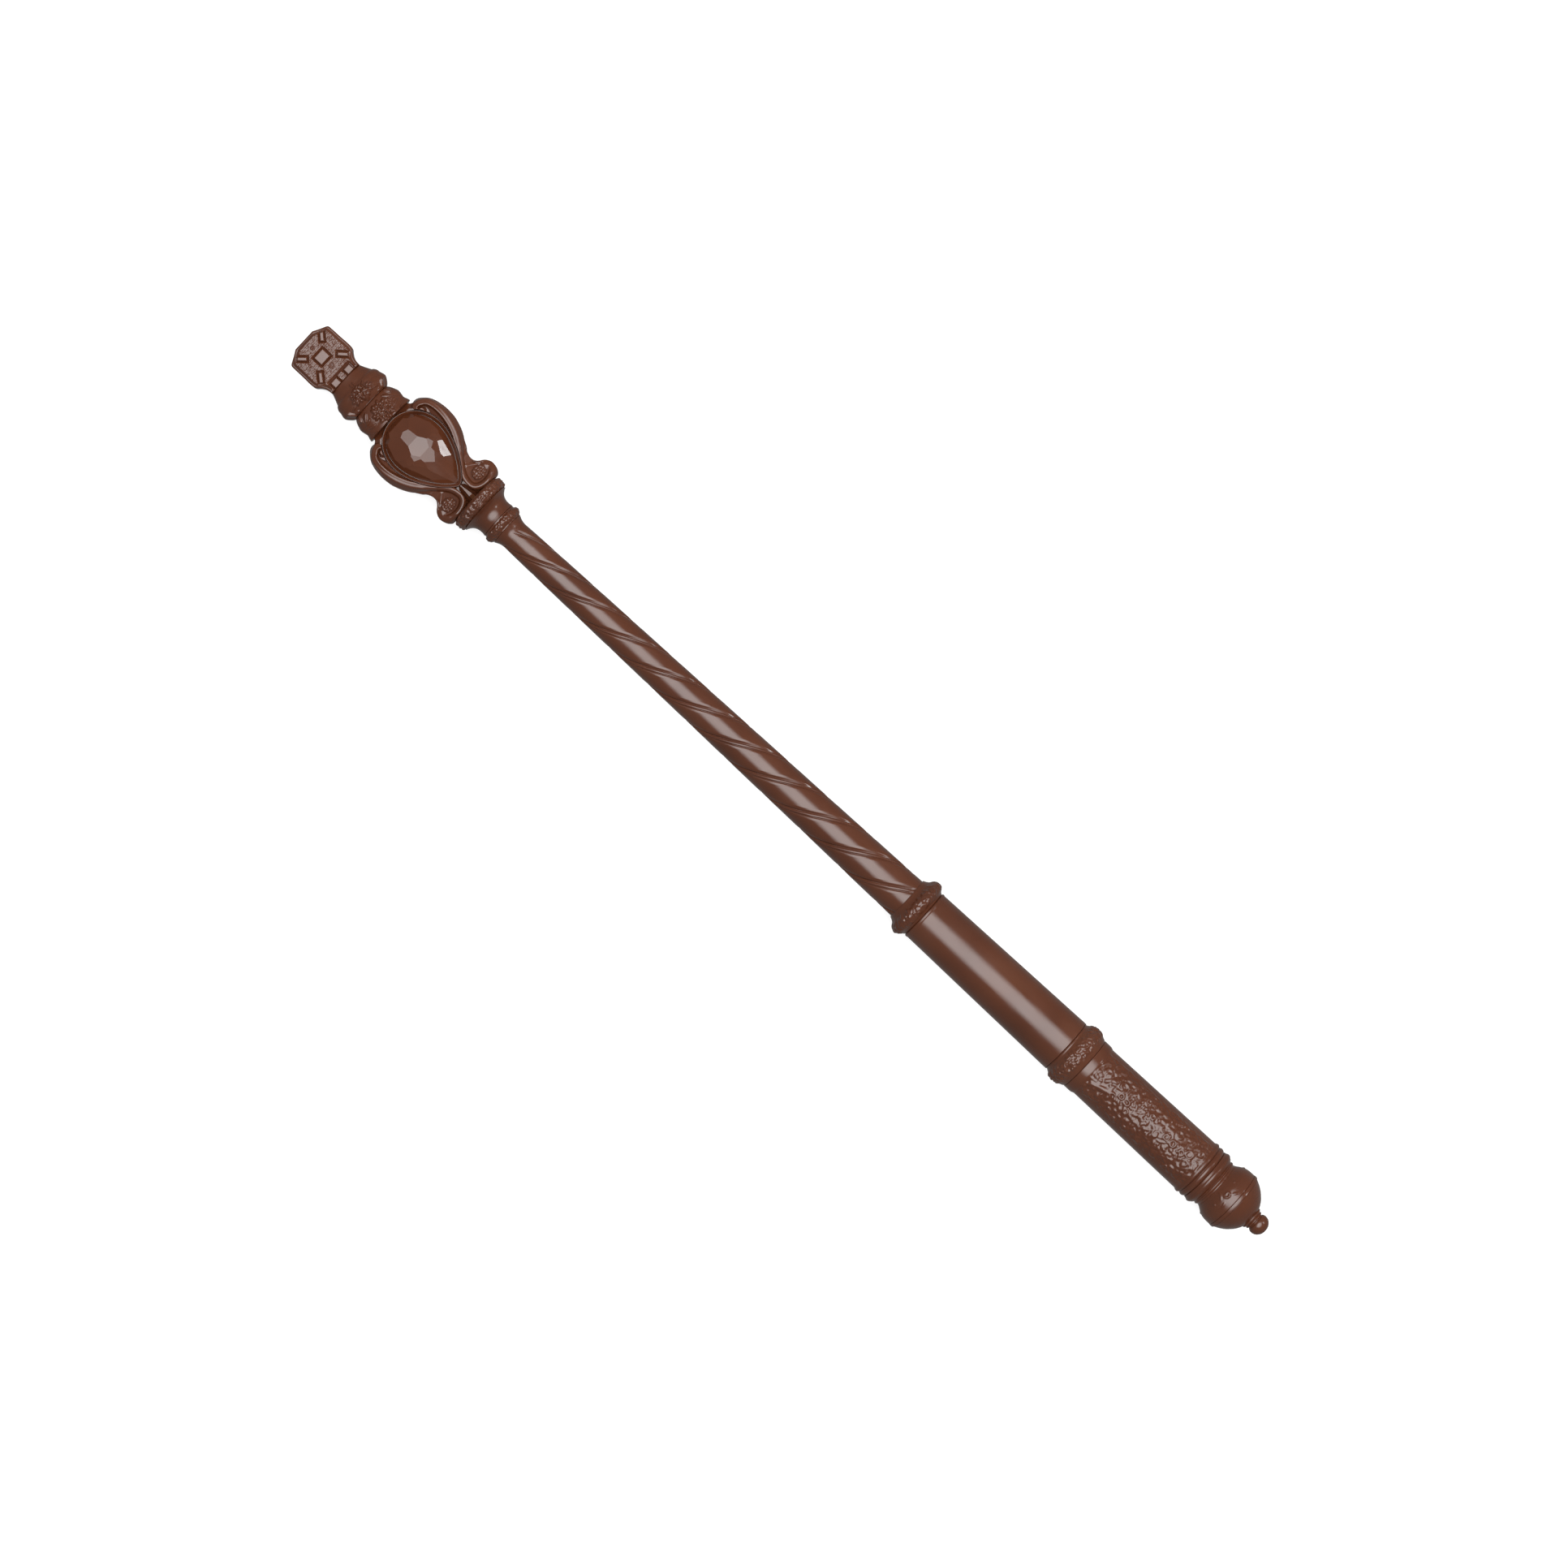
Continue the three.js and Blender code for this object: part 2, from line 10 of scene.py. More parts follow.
import bmesh
import bpy
import numpy as np
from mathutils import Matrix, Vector
from mathutils.geometry import delaunay_2d_cdt


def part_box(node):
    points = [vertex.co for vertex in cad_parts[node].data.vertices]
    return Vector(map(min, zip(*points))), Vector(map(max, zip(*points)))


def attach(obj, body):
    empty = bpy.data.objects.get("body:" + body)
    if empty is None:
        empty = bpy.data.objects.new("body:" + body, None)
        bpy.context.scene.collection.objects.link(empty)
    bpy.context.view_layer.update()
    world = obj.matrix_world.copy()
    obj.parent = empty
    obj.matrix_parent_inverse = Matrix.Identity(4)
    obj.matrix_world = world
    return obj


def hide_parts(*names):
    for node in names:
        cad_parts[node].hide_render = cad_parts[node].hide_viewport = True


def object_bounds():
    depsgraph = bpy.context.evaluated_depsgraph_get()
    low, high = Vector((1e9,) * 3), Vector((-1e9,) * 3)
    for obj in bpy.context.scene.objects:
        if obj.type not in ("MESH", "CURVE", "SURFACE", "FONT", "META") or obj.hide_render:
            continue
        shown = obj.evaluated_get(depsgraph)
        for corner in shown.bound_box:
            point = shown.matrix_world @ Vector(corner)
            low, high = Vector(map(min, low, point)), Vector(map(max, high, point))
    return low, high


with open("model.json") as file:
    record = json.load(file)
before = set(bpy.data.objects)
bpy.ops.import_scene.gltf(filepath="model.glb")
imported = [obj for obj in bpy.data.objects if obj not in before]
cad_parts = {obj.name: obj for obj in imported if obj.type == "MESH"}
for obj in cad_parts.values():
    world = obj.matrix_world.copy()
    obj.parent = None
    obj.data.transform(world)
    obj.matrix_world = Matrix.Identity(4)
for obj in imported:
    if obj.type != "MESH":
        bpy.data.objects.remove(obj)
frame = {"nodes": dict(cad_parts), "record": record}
CAD_LOW, CAD_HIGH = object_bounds()

MM = 0.001
TAIL_X = CAD_LOW.x
GRIP_LOW, GRIP_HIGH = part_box("embossed_grip")
AXIS_Z = (GRIP_LOW.z + GRIP_HIGH.z) / 2


def span(node):
    """(rear station, front station) of a CAD node."""
    low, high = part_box(node)
    return (low.x - TAIL_X) / MM, (high.x - TAIL_X) / MM


def length_of(node):
    """Length of a CAD node along the wand."""
    rear, front = span(node)
    return front - rear


# ------------------------------------------------------------------ helpers for Blender's data


def link(thing):
    """Puts an object in the scene."""
    bpy.context.scene.collection.objects.link(thing)


def set_inputs(node, **values):
    """Sets a shader node's inputs; in their names, _ stands for a space."""
    for socket, value in values.items():
        node.inputs[socket.replace("_", " ")].default_value = value
    return node


def add_node(owner, kind, **values):
    """A new node in a material or world."""
    return set_inputs(owner.node_tree.nodes.new("ShaderNode" + kind), **values)


def connect(owner, output, socket, node=None):
    """Feeds a node's socket, or a socket of a material's own shader."""
    node = node or owner.node_tree.nodes["Principled BSDF"]
    owner.node_tree.links.new(output, node.inputs[socket])


def new_material(name, **values):
    """A material whose own shader has these inputs."""
    material = bpy.data.materials.new(name)
    material.use_nodes = True
    set_inputs(material.node_tree.nodes["Principled BSDF"], **values)
    return material


# ------------------------------------------------------------------ camera, lights, floor

FRAME_WIDTH = 0.4192  # width of the picture at the wand
CAMERA_TURN = math.radians(222.8)
CAMERA_HEIGHT = 1.2
CAMERA_OFFSET = (0.0005, -0.0002)  # from the middle of the wand
SENSOR = 36.0


def add_camera():
    data = bpy.data.cameras.new("camera")
    data.sensor_width = SENSOR
    data.lens = SENSOR * CAMERA_HEIGHT / FRAME_WIDTH
    camera = bpy.data.objects.new("camera", data)
    camera.location = (*CAMERA_OFFSET, AXIS_Z + CAMERA_HEIGHT)
    camera.rotation_euler = (0, 0, CAMERA_TURN)
    link(camera)
    bpy.context.scene.camera = camera


def add_area_light(name, direction, distance, half_angle, radiance, mirrored_in=True):
    """A lamp that shows a disc of the given angular radius and radiance."""
    size = 2 * distance * math.tan(math.radians(half_angle))
    data = bpy.data.lights.new(name, "AREA")
    data.shape = "DISK"
    data.size = size
    data.energy = radiance * math.pi * (math.pi / 4) * size**2
    light = bpy.data.objects.new(name, data)
    towards = Vector(direction).normalized()
    light.location = towards * distance
    light.rotation_euler = towards.to_track_quat("Z", "Y").to_euler()
    light.visible_camera = False
    light.visible_glossy = mirrored_in
    link(light)


def add_world():
    """White to the camera, and a dimmer surround for light and reflections."""
    world = bpy.data.worlds.new("studio")
    world.use_nodes = True
    world.node_tree.nodes.clear()
    seen = add_node(world, "Background", Color=(1, 1, 1, 1))
    felt = add_node(world, "Background", Color=(1, 0.98, 0.96, 1), Strength=0.30)
    mix = add_node(world, "MixShader")
    connect(world, add_node(world, "LightPath").outputs["Is Camera Ray"], "Fac", mix)
    connect(world, felt.outputs["Background"], 1, mix)
    connect(world, seen.outputs["Background"], 2, mix)
    connect(world, mix.outputs["Shader"], "Surface", add_node(world, "OutputWorld"))
    bpy.context.scene.world = world


def add_floor():
    mesh = bpy.data.meshes.new("floor")
    reach = 4.0
    corners = [(-reach, -reach, 0), (reach, -reach, 0), (reach, reach, 0), (-reach, reach, 0)]
    mesh.from_pydata(corners, [], [(0, 1, 2, 3)])
    mesh.materials.append(new_material(
        "floor", Base_Color=(0.35, 0.35, 0.35, 1), Roughness=0.9, Emission_Color=(1, 1, 1, 1),
        Emission_Strength=0.68,
    ))
    floor = bpy.data.objects.new("floor", mesh)
    floor.visible_glossy = False
    floor.visible_diffuse = False
    link(floor)


add_camera()
add_world()
add_floor()
# Three discs of growing size make one softbox that fades towards its edge.
for ring, half_angle in enumerate((22.0, 28.0, 34.0)):
    add_area_light(f"softbox_{ring}", (0, 0, 1), 3.0 + 0.05 * ring, half_angle, radiance=1.9)
add_area_light("side_light", (-0.46, -0.70, 0.55), 2.5, half_angle=4.0, radiance=18.0)
add_area_light("fill", (-0.15, -0.80, 0.60), 2.5, half_angle=25.0, radiance=3.3, mirrored_in=False)
bpy.context.scene.view_settings.view_transform = "Standard"


# ------------------------------------------------------------------ materials


def noise(material, scale, detail, stretch=(1, 1, 1)):
    """A noise texture in the object's own coordinates, in cells per metre."""
    coordinates = add_node(material, "TexCoord")
    mapping = add_node(material, "Mapping", Scale=stretch)
    texture = add_node(material, "TexNoise", Scale=scale, Detail=detail)
    connect(material, coordinates.outputs["Object"], "Vector", mapping)
    connect(material, mapping.outputs["Vector"], "Vector", texture)
    return texture.outputs["Fac"]


def ramp(material, factor, stops):
    """A colour ramp fed by factor; stops are (position, colour)."""
    node = add_node(material, "ValToRGB")
    elements = node.color_ramp.elements
    while len(elements) < len(stops):
        elements.new(0.5)
    for element, (position, colour) in zip(elements, stops):
        element.position = position
        element.color = (*colour, 1)
    connect(material, factor, "Fac", node)
    return node.outputs["Color"]


def spread(material, factor, low, high):
    """The middle of a noise's range, mapped to a range of values."""
    node = add_node(material, "MapRange", From_Min=0.3, From_Max=0.7, To_Min=low, To_Max=high)
    connect(material, factor, "Value", node)
    return node.outputs["Result"]


def bump(material, height, depth):
    node = add_node(material, "Bump", Strength=1.0, Distance=depth)
    connect(material, height, "Height", node)
    connect(material, node.outputs["Normal"], "Normal")


def chocolate(name, roughness, depth):
    """Glossy brown casting: faint cloudy colour, slightly uneven gloss and a soft waviness."""
    material = new_material(name, Roughness=roughness, Metallic=0.0)
    brown = ramp(material, noise(material, 70, 4), [
        (0.30, (0.052, 0.0150, 0.0062)), (0.50, (0.060, 0.0170, 0.0068)), (0.70, (0.067, 0.0205, 0.0088)),
    ])
    connect(material, brown, "Base Color")
    smear = noise(material, 240, 3, (0.5, 1, 1))
    connect(material, spread(material, smear, roughness - 0.05, roughness + 0.07), "Roughness")
    bump(material, noise(material, 420, 2), depth)
    return material


def metal(name, colour, roughness):
    """Machined metal with fine turning marks."""
    material = new_material(name, Roughness=roughness, Metallic=1.0)
    marks = noise(material, 900, 3, (1, 0.1, 0.1))
    dark = tuple(0.8 * c for c in colour)
    connect(material, ramp(material, marks, [(0.35, dark), (0.65, colour)]), "Base Color")
    connect(material, spread(material, marks, roughness - 0.08, roughness + 0.1), "Roughness")
    bump(material, marks, 0.00002)
    return material


def birch():
    """Plain turned birch with grain along the wand."""
    material = new_material("birch", Roughness=0.6, Metallic=0.0)
    grain = noise(material, 900, 5, (0.05, 1, 1))
    tone = ramp(material, grain, [(0.3, (0.42, 0.27, 0.13)), (0.7, (0.62, 0.44, 0.25))])
    connect(material, tone, "Base Color")
    bump(material, grain, 0.00005)
    return material


RESIN = chocolate("resin", 0.20, 0.000018)
GEM = chocolate("gem", 0.12, 0.000006)
STEEL = metal("steel", (0.60, 0.61, 0.62), 0.28)
BRASS = metal("brass", (0.66, 0.45, 0.16), 0.25)
BIRCH = birch()


# ------------------------------------------------------------------ mesh building

SEAM = 0.02  # how far a turned piece reaches past each end of its span, so that no gap shows
BODY_OF = {
    node: body for body, nodes in frame["record"]["behaviour"]["bodies"].items() for node in nodes
}
SLOT_OF = {row["node"]: row["material_slot"] for row in frame["record"]["subparts"]}


def make_piece(name, vertices, faces, material=RESIN, sharp=40):
    """A mesh that stands for the CAD node of the same name; vertices are (station, y, z)."""
    vertices = np.asarray(vertices, float)
    placed = vertices * MM + (TAIL_X, 0, AXIS_Z)
    mesh = bpy.data.meshes.new(name + "_mesh")
    mesh.from_pydata(placed.tolist(), [], [list(map(int, f)) for f in faces])
    mesh.validate()
    work = bmesh.new()
    work.from_mesh(mesh)
    bmesh.ops.remove_doubles(work, verts=work.verts, dist=1e-7)
    bmesh.ops.recalc_face_normals(work, faces=work.faces)
    work.to_mesh(mesh)
    work.free()
    mesh.materials.append(material)
    mesh.shade_smooth()
    mesh.set_sharp_from_angle(angle=math.radians(sharp))
    piece = bpy.data.objects.new(name + "_shape", mesh)
    link(piece)
    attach(piece, BODY_OF[name])
    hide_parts(name)


def line(start, end, step=0.25):
    """Points on a straight line, both ends included."""
    start, end = np.array(start, float), np.array(end, float)
    count = max(1, round(np.linalg.norm(end - start) / step))
    return start + (end - start) * np.linspace(0, 1, count + 1)[:, None]


def swell(start, end, rise, step=0.15):
    """A line that bulges by rise at its middle, as part of a round bead or cove."""
    points = line(start, end, step)
    share = np.linspace(0, 1, len(points))
    points[:, 1] += 4 * rise * share * (1 - share)
    return points


def bezier(a, b, c, d, step):
    """A cubic Bezier curve as evenly shared points."""
    a, b, c, d = (np.array(p, float) for p in (a, b, c, d))
    rough = np.linalg.norm(b - a) + np.linalg.norm(c - b) + np.linalg.norm(d - c)
    u = np.linspace(0, 1, max(2, round(rough / step)) + 1)[:, None]
    return a * (1 - u) ** 3 + 3 * b * u * (1 - u) ** 2 + 3 * c * u**2 * (1 - u) + d * u**3


def chain(*parts):
    """Joins curves end to end, without doubled points."""
    points = [parts[0]]
    for part in parts[1:]:
        keep = part[1:] if np.allclose(points[-1][-1], part[0], atol=1e-6) else part
        points.append(keep)
    return np.concatenate(points)


def eased(outline, edge):
    """Breaks the first and last corner of an outline with a small round edge."""
    outline = np.array(outline, float)
    if not edge:
        return outline
    first, last = outline[0], outline[-1]
    inner = outline[(outline[:, 0] > first[0] + edge) & (outline[:, 0] < last[0] - edge)]
    turns = np.radians([0, 30, 60, 90])
    rear = [(first[0] + edge * (1 - math.sin(a)), first[1] - edge * (1 - math.cos(a))) for a in turns[::-1]]
    front = [(last[0] - edge * (1 - math.sin(a)), last[1] - edge * (1 - math.cos(a))) for a in turns]
    return np.concatenate([rear, inner, front])


def ring_faces(rows, around, closed=True):
    """Quads of a grid that wraps round its columns, and round its rows if closed."""
    i = np.arange(rows if closed else rows - 1)[:, None]
    j = np.arange(around)[None, :]
    after, below = (j + 1) % around, (i + 1) % rows
    corners = [i * around + j, i * around + after, below * around + after, below * around + j]
    return np.stack(corners, -1).reshape(-1, 4)


def full_turn(around):
    """Angles of evenly shared points round the axis; 90 degrees is the front face."""
    return np.arange(around) * 2 * math.pi / around


def bored(skin, angles, bore):
    """Vertices and faces of a tube, from the grid of its outer surface and its points' angles."""
    angles = np.broadcast_to(angles, skin.shape[:2])
    rings = [skin]
    for end in (-1, 0):
        ring = [skin[end, :, 0], bore * np.cos(angles[end]), bore * np.sin(angles[end])]
        rings.append(np.stack(ring, -1)[None])
    grid = np.concatenate(rings)
    return grid.reshape(-1, 3), ring_faces(len(grid), grid.shape[1])


def revolve(outside, bore, around, rise):
    """Vertices and faces of a turned ring, or of a solid one with flat ends if bore is None.

    outside runs from tail to tip. rise gives the relief at (station, angle) for those points.
    """
    angles = full_turn(around)
    stations, radii = outside[:, :1], outside[:, 1:]
    relief = 0 if rise is None else rise(stations, angles[None, :])
    radii = radii + relief + np.zeros((1, around))
    stations = np.repeat(stations, around, axis=1)
    skin = np.stack([stations, radii * np.cos(angles), radii * np.sin(angles)], -1)
    if bore is not None:
        return bored(skin, angles, bore)
    total = len(skin) * around
    faces = ring_faces(len(skin), around, closed=False).tolist()
    faces += [list(range(around)), list(range(total - around, total))]
    return skin.reshape(-1, 3), faces


def turned(name, outline, bore, around, rise=None, edge=0.15, reach=None):
    """A turned piece; its outline is stretched over reach, or else over its CAD node."""
    outside = fitted(outline, *(reach or span(name)))
    make_piece(name, *revolve(eased(outside, edge), bore, around, rise))


def flowing(*points, step=0.2):
    """A smooth curve through the points."""
    knots = np.array(points, float)
    knots = np.vstack([2 * knots[0] - knots[1], knots, 2 * knots[-1] - knots[-2]])
    parts = []
    for a, b, c, d in zip(knots, knots[1:], knots[2:], knots[3:]):
        parts.append(bezier(b, b + (c - a) / 6, c - (d - b) / 6, c, step))
    return chain(*parts)


def fitted(outline, rear, front):
    """The outline moved and stretched along the wand to run between two stations."""
    outline = np.array(outline, float)
    share = (outline[:, 0] - outline[0, 0]) / (outline[-1, 0] - outline[0, 0])
    outline[:, 0] = rear - SEAM + share * (front - rear + 2 * SEAM)
    return outline


def smooth_fall(distance, flat, reach):
    """1 up to flat, easing to 0 at reach."""
    share = np.clip((distance - flat) / (reach - flat), 0, 1)
    return 1 - share * share * (3 - 2 * share)


# ------------------------------------------------------------------ carved relief


class Relief:
    """Raised ornament on a grid of surface points.

    s is the distance from the tip side towards the tail and a the distance across, in
    millimetres. With wrap set, the ornament repeats after that distance across.
    """

    def __init__(self, s, a, wrap=None):
        self.s, self.a = np.broadcast_arrays(np.asarray(s, float), np.asarray(a, float))
        self.wrap = wrap
        self.height = np.zeros(self.s.shape)

    def offset(self, centre):
        """Distance of every point from centre, along and across."""
        across = self.a - centre[1]
        if self.wrap:
            across = (across + self.wrap / 2) % self.wrap - self.wrap / 2
        return self.s - centre[0], across

    def raise_to(self, near, height):
        self.height[near] = np.maximum(self.height[near], height)

    def stroke(self, path, widths, height):
        """A rounded ridge along path; widths are its half-widths from start to end."""
        path = np.array(path, float)
        widths = np.interp(np.linspace(0, 1, len(path)), np.linspace(0, 1, len(widths)), widths)
        widest = widths.max()
        for p, q, w0, w1 in zip(path, path[1:], widths, widths[1:]):
            middle, run = (p + q) / 2, q - p
            along, across = self.offset(middle)
            reach = np.linalg.norm(run) / 2 + max(w0, w1)
            near = (abs(along) < reach) & (abs(across) < reach)
            if not near.any():
                continue
            x, y = along[near] + run[0] / 2, across[near] + run[1] / 2
            u = np.clip((x * run[0] + y * run[1]) / max(run @ run, 1e-9), 0, 1)
            width = w0 + (w1 - w0) * u
            share = np.hypot(x - u * run[0], y - u * run[1]) / np.maximum(width, 1e-3)
            crown = np.clip(1 - share**2, 0, 1) ** 1.3
            self.raise_to(near, height * crown * (0.45 + 0.55 * width / widest))

    def bead(self, centre, radius, height, stretch=1.0, turn=0.0):
        """A domed bead, stretched into an oval along the direction turn (degrees)."""
        along, across = self.offset(centre)
        near = (abs(along) < radius * max(1, stretch)) & (abs(across) < radius * max(1, stretch))
        c, s = math.cos(math.radians(turn)), math.sin(math.radians(turn))
        u = (along[near] * c + across[near] * s) / stretch
        v = across[near] * c - along[near] * s
        share = (u**2 + v**2) / radius**2
        self.raise_to(near, height * np.clip(1 - share, 0, 1) ** 1.1)

    def ring(self, centre, radius, width, height):
        """A rounded ring."""
        turns = np.linspace(0, 2 * math.pi, 21)
        path = np.stack([centre[0] + radius * np.cos(turns), centre[1] + radius * np.sin(turns)], -1)
        self.stroke(path, [width, width], height)

    def curl(self, centre, radius, start, sweep, width, height):
        """A scroll that winds in to its centre; start and sweep are in degrees."""
        u = np.linspace(0, 1, max(8, int(abs(sweep) / 18)))
        turns = np.radians(start + sweep * u)
        reach = radius * (1 - 0.72 * u**1.3)
        path = np.stack([centre[0] + reach * np.cos(turns), centre[1] + reach * np.sin(turns)], -1)
        self.stroke(path, [0.45 * width, width, width, 0.7 * width], height)

    def leaf(self, base, direction, length, width, height, bend=0.0):
        """A pointed leaf from base; direction in degrees, bend curves its tip sideways."""
        u = np.linspace(0, 1, 9)
        turn = math.radians(direction)
        forward, side = length * u, bend * length * u**2
        c, s = math.cos(turn), math.sin(turn)
        path = np.stack([base[0] + forward * c - side * s, base[1] + forward * s + side * c], -1)
        self.stroke(path, [0.5 * width, 0.95 * width, width, 0.75 * width, 0.12 * width], height)


def mottled(relief, low, high, spacing, size, height, seed):
    """Irregular overlapping blobs over a rectangle, like worn chasing."""
    random = np.random.default_rng(seed)
    columns = max(1, round((high[0] - low[0]) / spacing))
    rows = max(1, round((high[1] - low[1]) / spacing))
    for i in range(columns + 1):
        for j in range(rows):
            jitter = 0.7 * spacing * (random.random(2) - 0.5)
            centre = (low[0] + (high[0] - low[0]) * i / columns + jitter[0],
                      low[1] + (high[1] - low[1]) * (j + 0.5 * (i % 2)) / rows + jitter[1])
            wide, long, turn, skip = random.random(4)
            if skip < 0.86:
                relief.bead(centre, size * (0.7 + 0.7 * wide), height * (0.5 + 0.7 * wide),
                            1 + 1.1 * long, 180 * turn)


def softened(height):
    """The relief with its finest steps smoothed away; across, it wraps round."""
    padded = np.pad(height, ((1, 1), (0, 0)), "edge")
    height = (padded[:-2] + 2 * height + padded[2:]) / 4
    return (np.roll(height, 1, 1) + 2 * height + np.roll(height, -1, 1)) / 4


def unrolled(front, stations, angles, radius, wrap):
    """Bare relief on a turned piece, unrolled at one radius from its front station."""
    return Relief(front - stations, radius * (math.pi / 2 - angles), wrap)


# ------------------------------------------------------------------ pommel


# What shows of the three pommel pieces that carry a hidden spigot or boss.
BUTTON_SPAN = (span("tail_button")[0], span("pommel_rear_half")[0])
REAR_HALF_SPAN = (span("pommel_rear_half")[0], span("pommel_band")[0])
FRONT_HALF_SPAN = (span("pommel_band")[1], span("pommel_ring")[0])


def build_pommel():
    button = chain(
        flowing((0, 0.05), (0.04, 0.9), (0.3, 1.6), (0.7, 2.15), (1.1, 2.52), (1.6, 2.8), (2.2, 2.94),
                (2.8, 2.9), (3.25, 2.7), (3.5, 2.4), step=0.1),
        flowing((3.5, 2.4), (3.65, 2.4), (3.85, 2.72), (4.05, 2.84), (4.3, 2.7), step=0.08),
    )
    turned("tail_button", button, bore=None, around=120, edge=0, reach=BUTTON_SPAN)

    rear_half = chain(
        flowing((0, 2.72), (0.2, 2.9), (0.5, 3.22), (0.72, 3.25), (0.95, 3.15), step=0.08),
        flowing((0.95, 3.15), (1.05, 3.75), (1.9, 5.15), (2.8, 6.15), (3.65, 6.95), (4.5, 7.55),
                (5.4, 8.08), (6.6, 8.66)),
    )
    turned("pommel_rear_half", rear_half, bore=1.7, around=200, reach=REAR_HALF_SPAN)

    band = chain(line((0, 8.72), (0.12, 8.9)), swell((0.12, 8.9), (0.98, 8.9), 0.05),
                 line((0.98, 8.9), (1.1, 8.75)))
    turned("pommel_band", band, bore=7.6, around=200, edge=0.06)

    front_half = flowing((0, 8.86), (1.0, 8.84), (2.3, 8.72), (3.1, 8.45), (3.95, 7.98), (4.5, 7.6),
                         (4.95, 7.28), (5.3, 7.15), step=0.15)
    turned("pommel_front_half", front_half, bore=3.0, around=260, rise=pommel_relief,
           reach=FRONT_HALF_SPAN)

    bead = chain(
        flowing((0, 7.12), (0.3, 7.0), (0.65, 7.12), step=0.1),
        swell((0.65, 7.12), (1.35, 7.15), 0.22, 0.1),
        flowing((1.35, 7.15), (1.6, 7.25), (2.0, 7.68), (2.35, 7.95), step=0.12),
        swell((2.35, 7.95), (3.7, 8.08), 0.3, 0.12), line((3.7, 8.08), (4.4, 7.92), 0.15),
    )
    turned("pommel_ring", bead, bore=3.5, around=200, edge=0.08)


def pommel_relief(stations, angles):
    """A small cluster of leaves, a curl and beads, three times round the ball's front shoulder."""
    radius = 8.4
    relief = unrolled(FRONT_HALF_SPAN[1], stations, angles, radius, wrap=2 * math.pi * radius / 3)
    relief.curl((2.6, -0.2), 1.0, 120, -320, 0.28, 0.3)
    relief.leaf((1.0, 1.0), 20, 2.0, 0.34, 0.28, 0.3)
    relief.leaf((3.6, -1.2), -40, 1.6, 0.34, 0.28, -0.2)
    relief.leaf((3.6, 1.8), 60, 2.0, 0.3, 0.26, 0.3)
    for centre in ((1.9, -4.2), (2.2, 4.4)):
        relief.bead(centre, 0.42, 0.26)
    return softened(relief.height)


# ------------------------------------------------------------------ handle

GRIP_STEP = 0.16  # between the grip's surface points
CORE_BORE = 5.12  # of the sleeves that sit on the wooden core
ROD_BORE = 2.2  # of the pieces that sit on the tie rod

# The grip's scrollwork, as distances in millimetres back from its front and across.
GRIP_CURLS = (  # along, across, radius, start and sweep in degrees
    (11.3, -2.4, 1.75, 60, -330), (31.0, -3.0, 1.75, 120, 330), (14.7, 0.3, 1.1, 200, 300),
    (10.4, 1.5, 1.05, 0, -280), (19.3, -4.3, 1.2, 90, 300), (34.0, 0.1, 1.05, 40, -300),
    (36.6, 1.6, 1.2, 200, 280), (25.9, 1.0, 1.15, 250, -300), (6.0, -2.6, 1.3, 140, 300),
    (22.6, -5.6, 1.2, 30, 290), (38.6, -3.2, 1.3, 80, -300), (14.8, 7.2, 1.4, 200, 320),
    (33.8, 6.9, 1.4, 20, -320), (23.6, 7.4, 1.2, 120, 300), (5.6, 7.6, 1.3, 10, 300),
    (27.6, -8.0, 1.2, 200, 300),
)
GRIP_RINGS = (  # along, across, radius
    (12.5, -0.2, 0.72), (15.9, 2.1, 0.7), (22.3, -1.9, 0.7), (28.6, -0.4, 0.78), (31.0, -0.2, 0.9),
    (36.2, -1.1, 1.0), (18.8, 6.4, 0.7), (29.2, 6.2, 0.7), (39.2, 7.2, 0.7),
)
GRIP_BEADS = (  # along, across, radius
    (18.8, -2.3, 0.5), (7.4, 4.7, 0.6), (12.0, 4.8, 0.45), (18.1, 4.7, 0.42), (27.9, 3.6, 0.42),
    (38.9, 4.3, 0.45), (10.6, -4.4, 0.45), (25.0, -4.5, 0.42), (27.2, -5.8, 0.42), (29.8, -4.7, 0.45),
    (35.0, -3.8, 0.45), (37.3, -5.6, 0.45), (8.8, 0.6, 0.35), (36.9, 4.6, 0.4), (21.6, 4.4, 0.4),
)
GRIP_OVALS = (  # along, across, radius, stretch, turn in degrees
    (15.7, 4.5, 0.45, 2.6, 5), (19.6, 2.7, 0.42, 2.0, -20), (24.8, 3.7, 0.5, 2.8, 0),
    (30.3, 2.7, 0.45, 2.0, 20), (6.4, -5.8, 0.45, 2.4, -40), (9.3, -5.8, 0.45, 2.4, -40),
    (13.2, -4.9, 0.45, 2.2, 20), (16.5, -5.4, 0.45, 1, 0), (22.6, -7.9, 0.5, 1.6, 0),
    (23.8, -3.8, 0.4, 2.0, 90), (40.2, -6.4, 0.5, 1.4, 30), (39.6, 0.9, 0.5, 2.0, 80),
    (21.0, 0.6, 0.4, 2.4, 10), (17.4, 0.2, 0.4, 2.2, 50), (33.4, 3.4, 0.42, 2.4, -30),
    (13.3, 1.9, 0.35, 1.8, 30), (34.4, -6.6, 0.45, 2.2, 20), (11.0, -7.8, 0.45, 2.0, 10),
    (17.8, -7.6, 0.45, 2.0, -20), (10.0, 7.0, 0.45, 2.4, 60), (3.6, 5.6, 0.4, 1.8, 70),
    (3.4, -3.6, 0.4, 2.2, 80), (3.3, 0.2, 0.4, 2.0, 90),
)
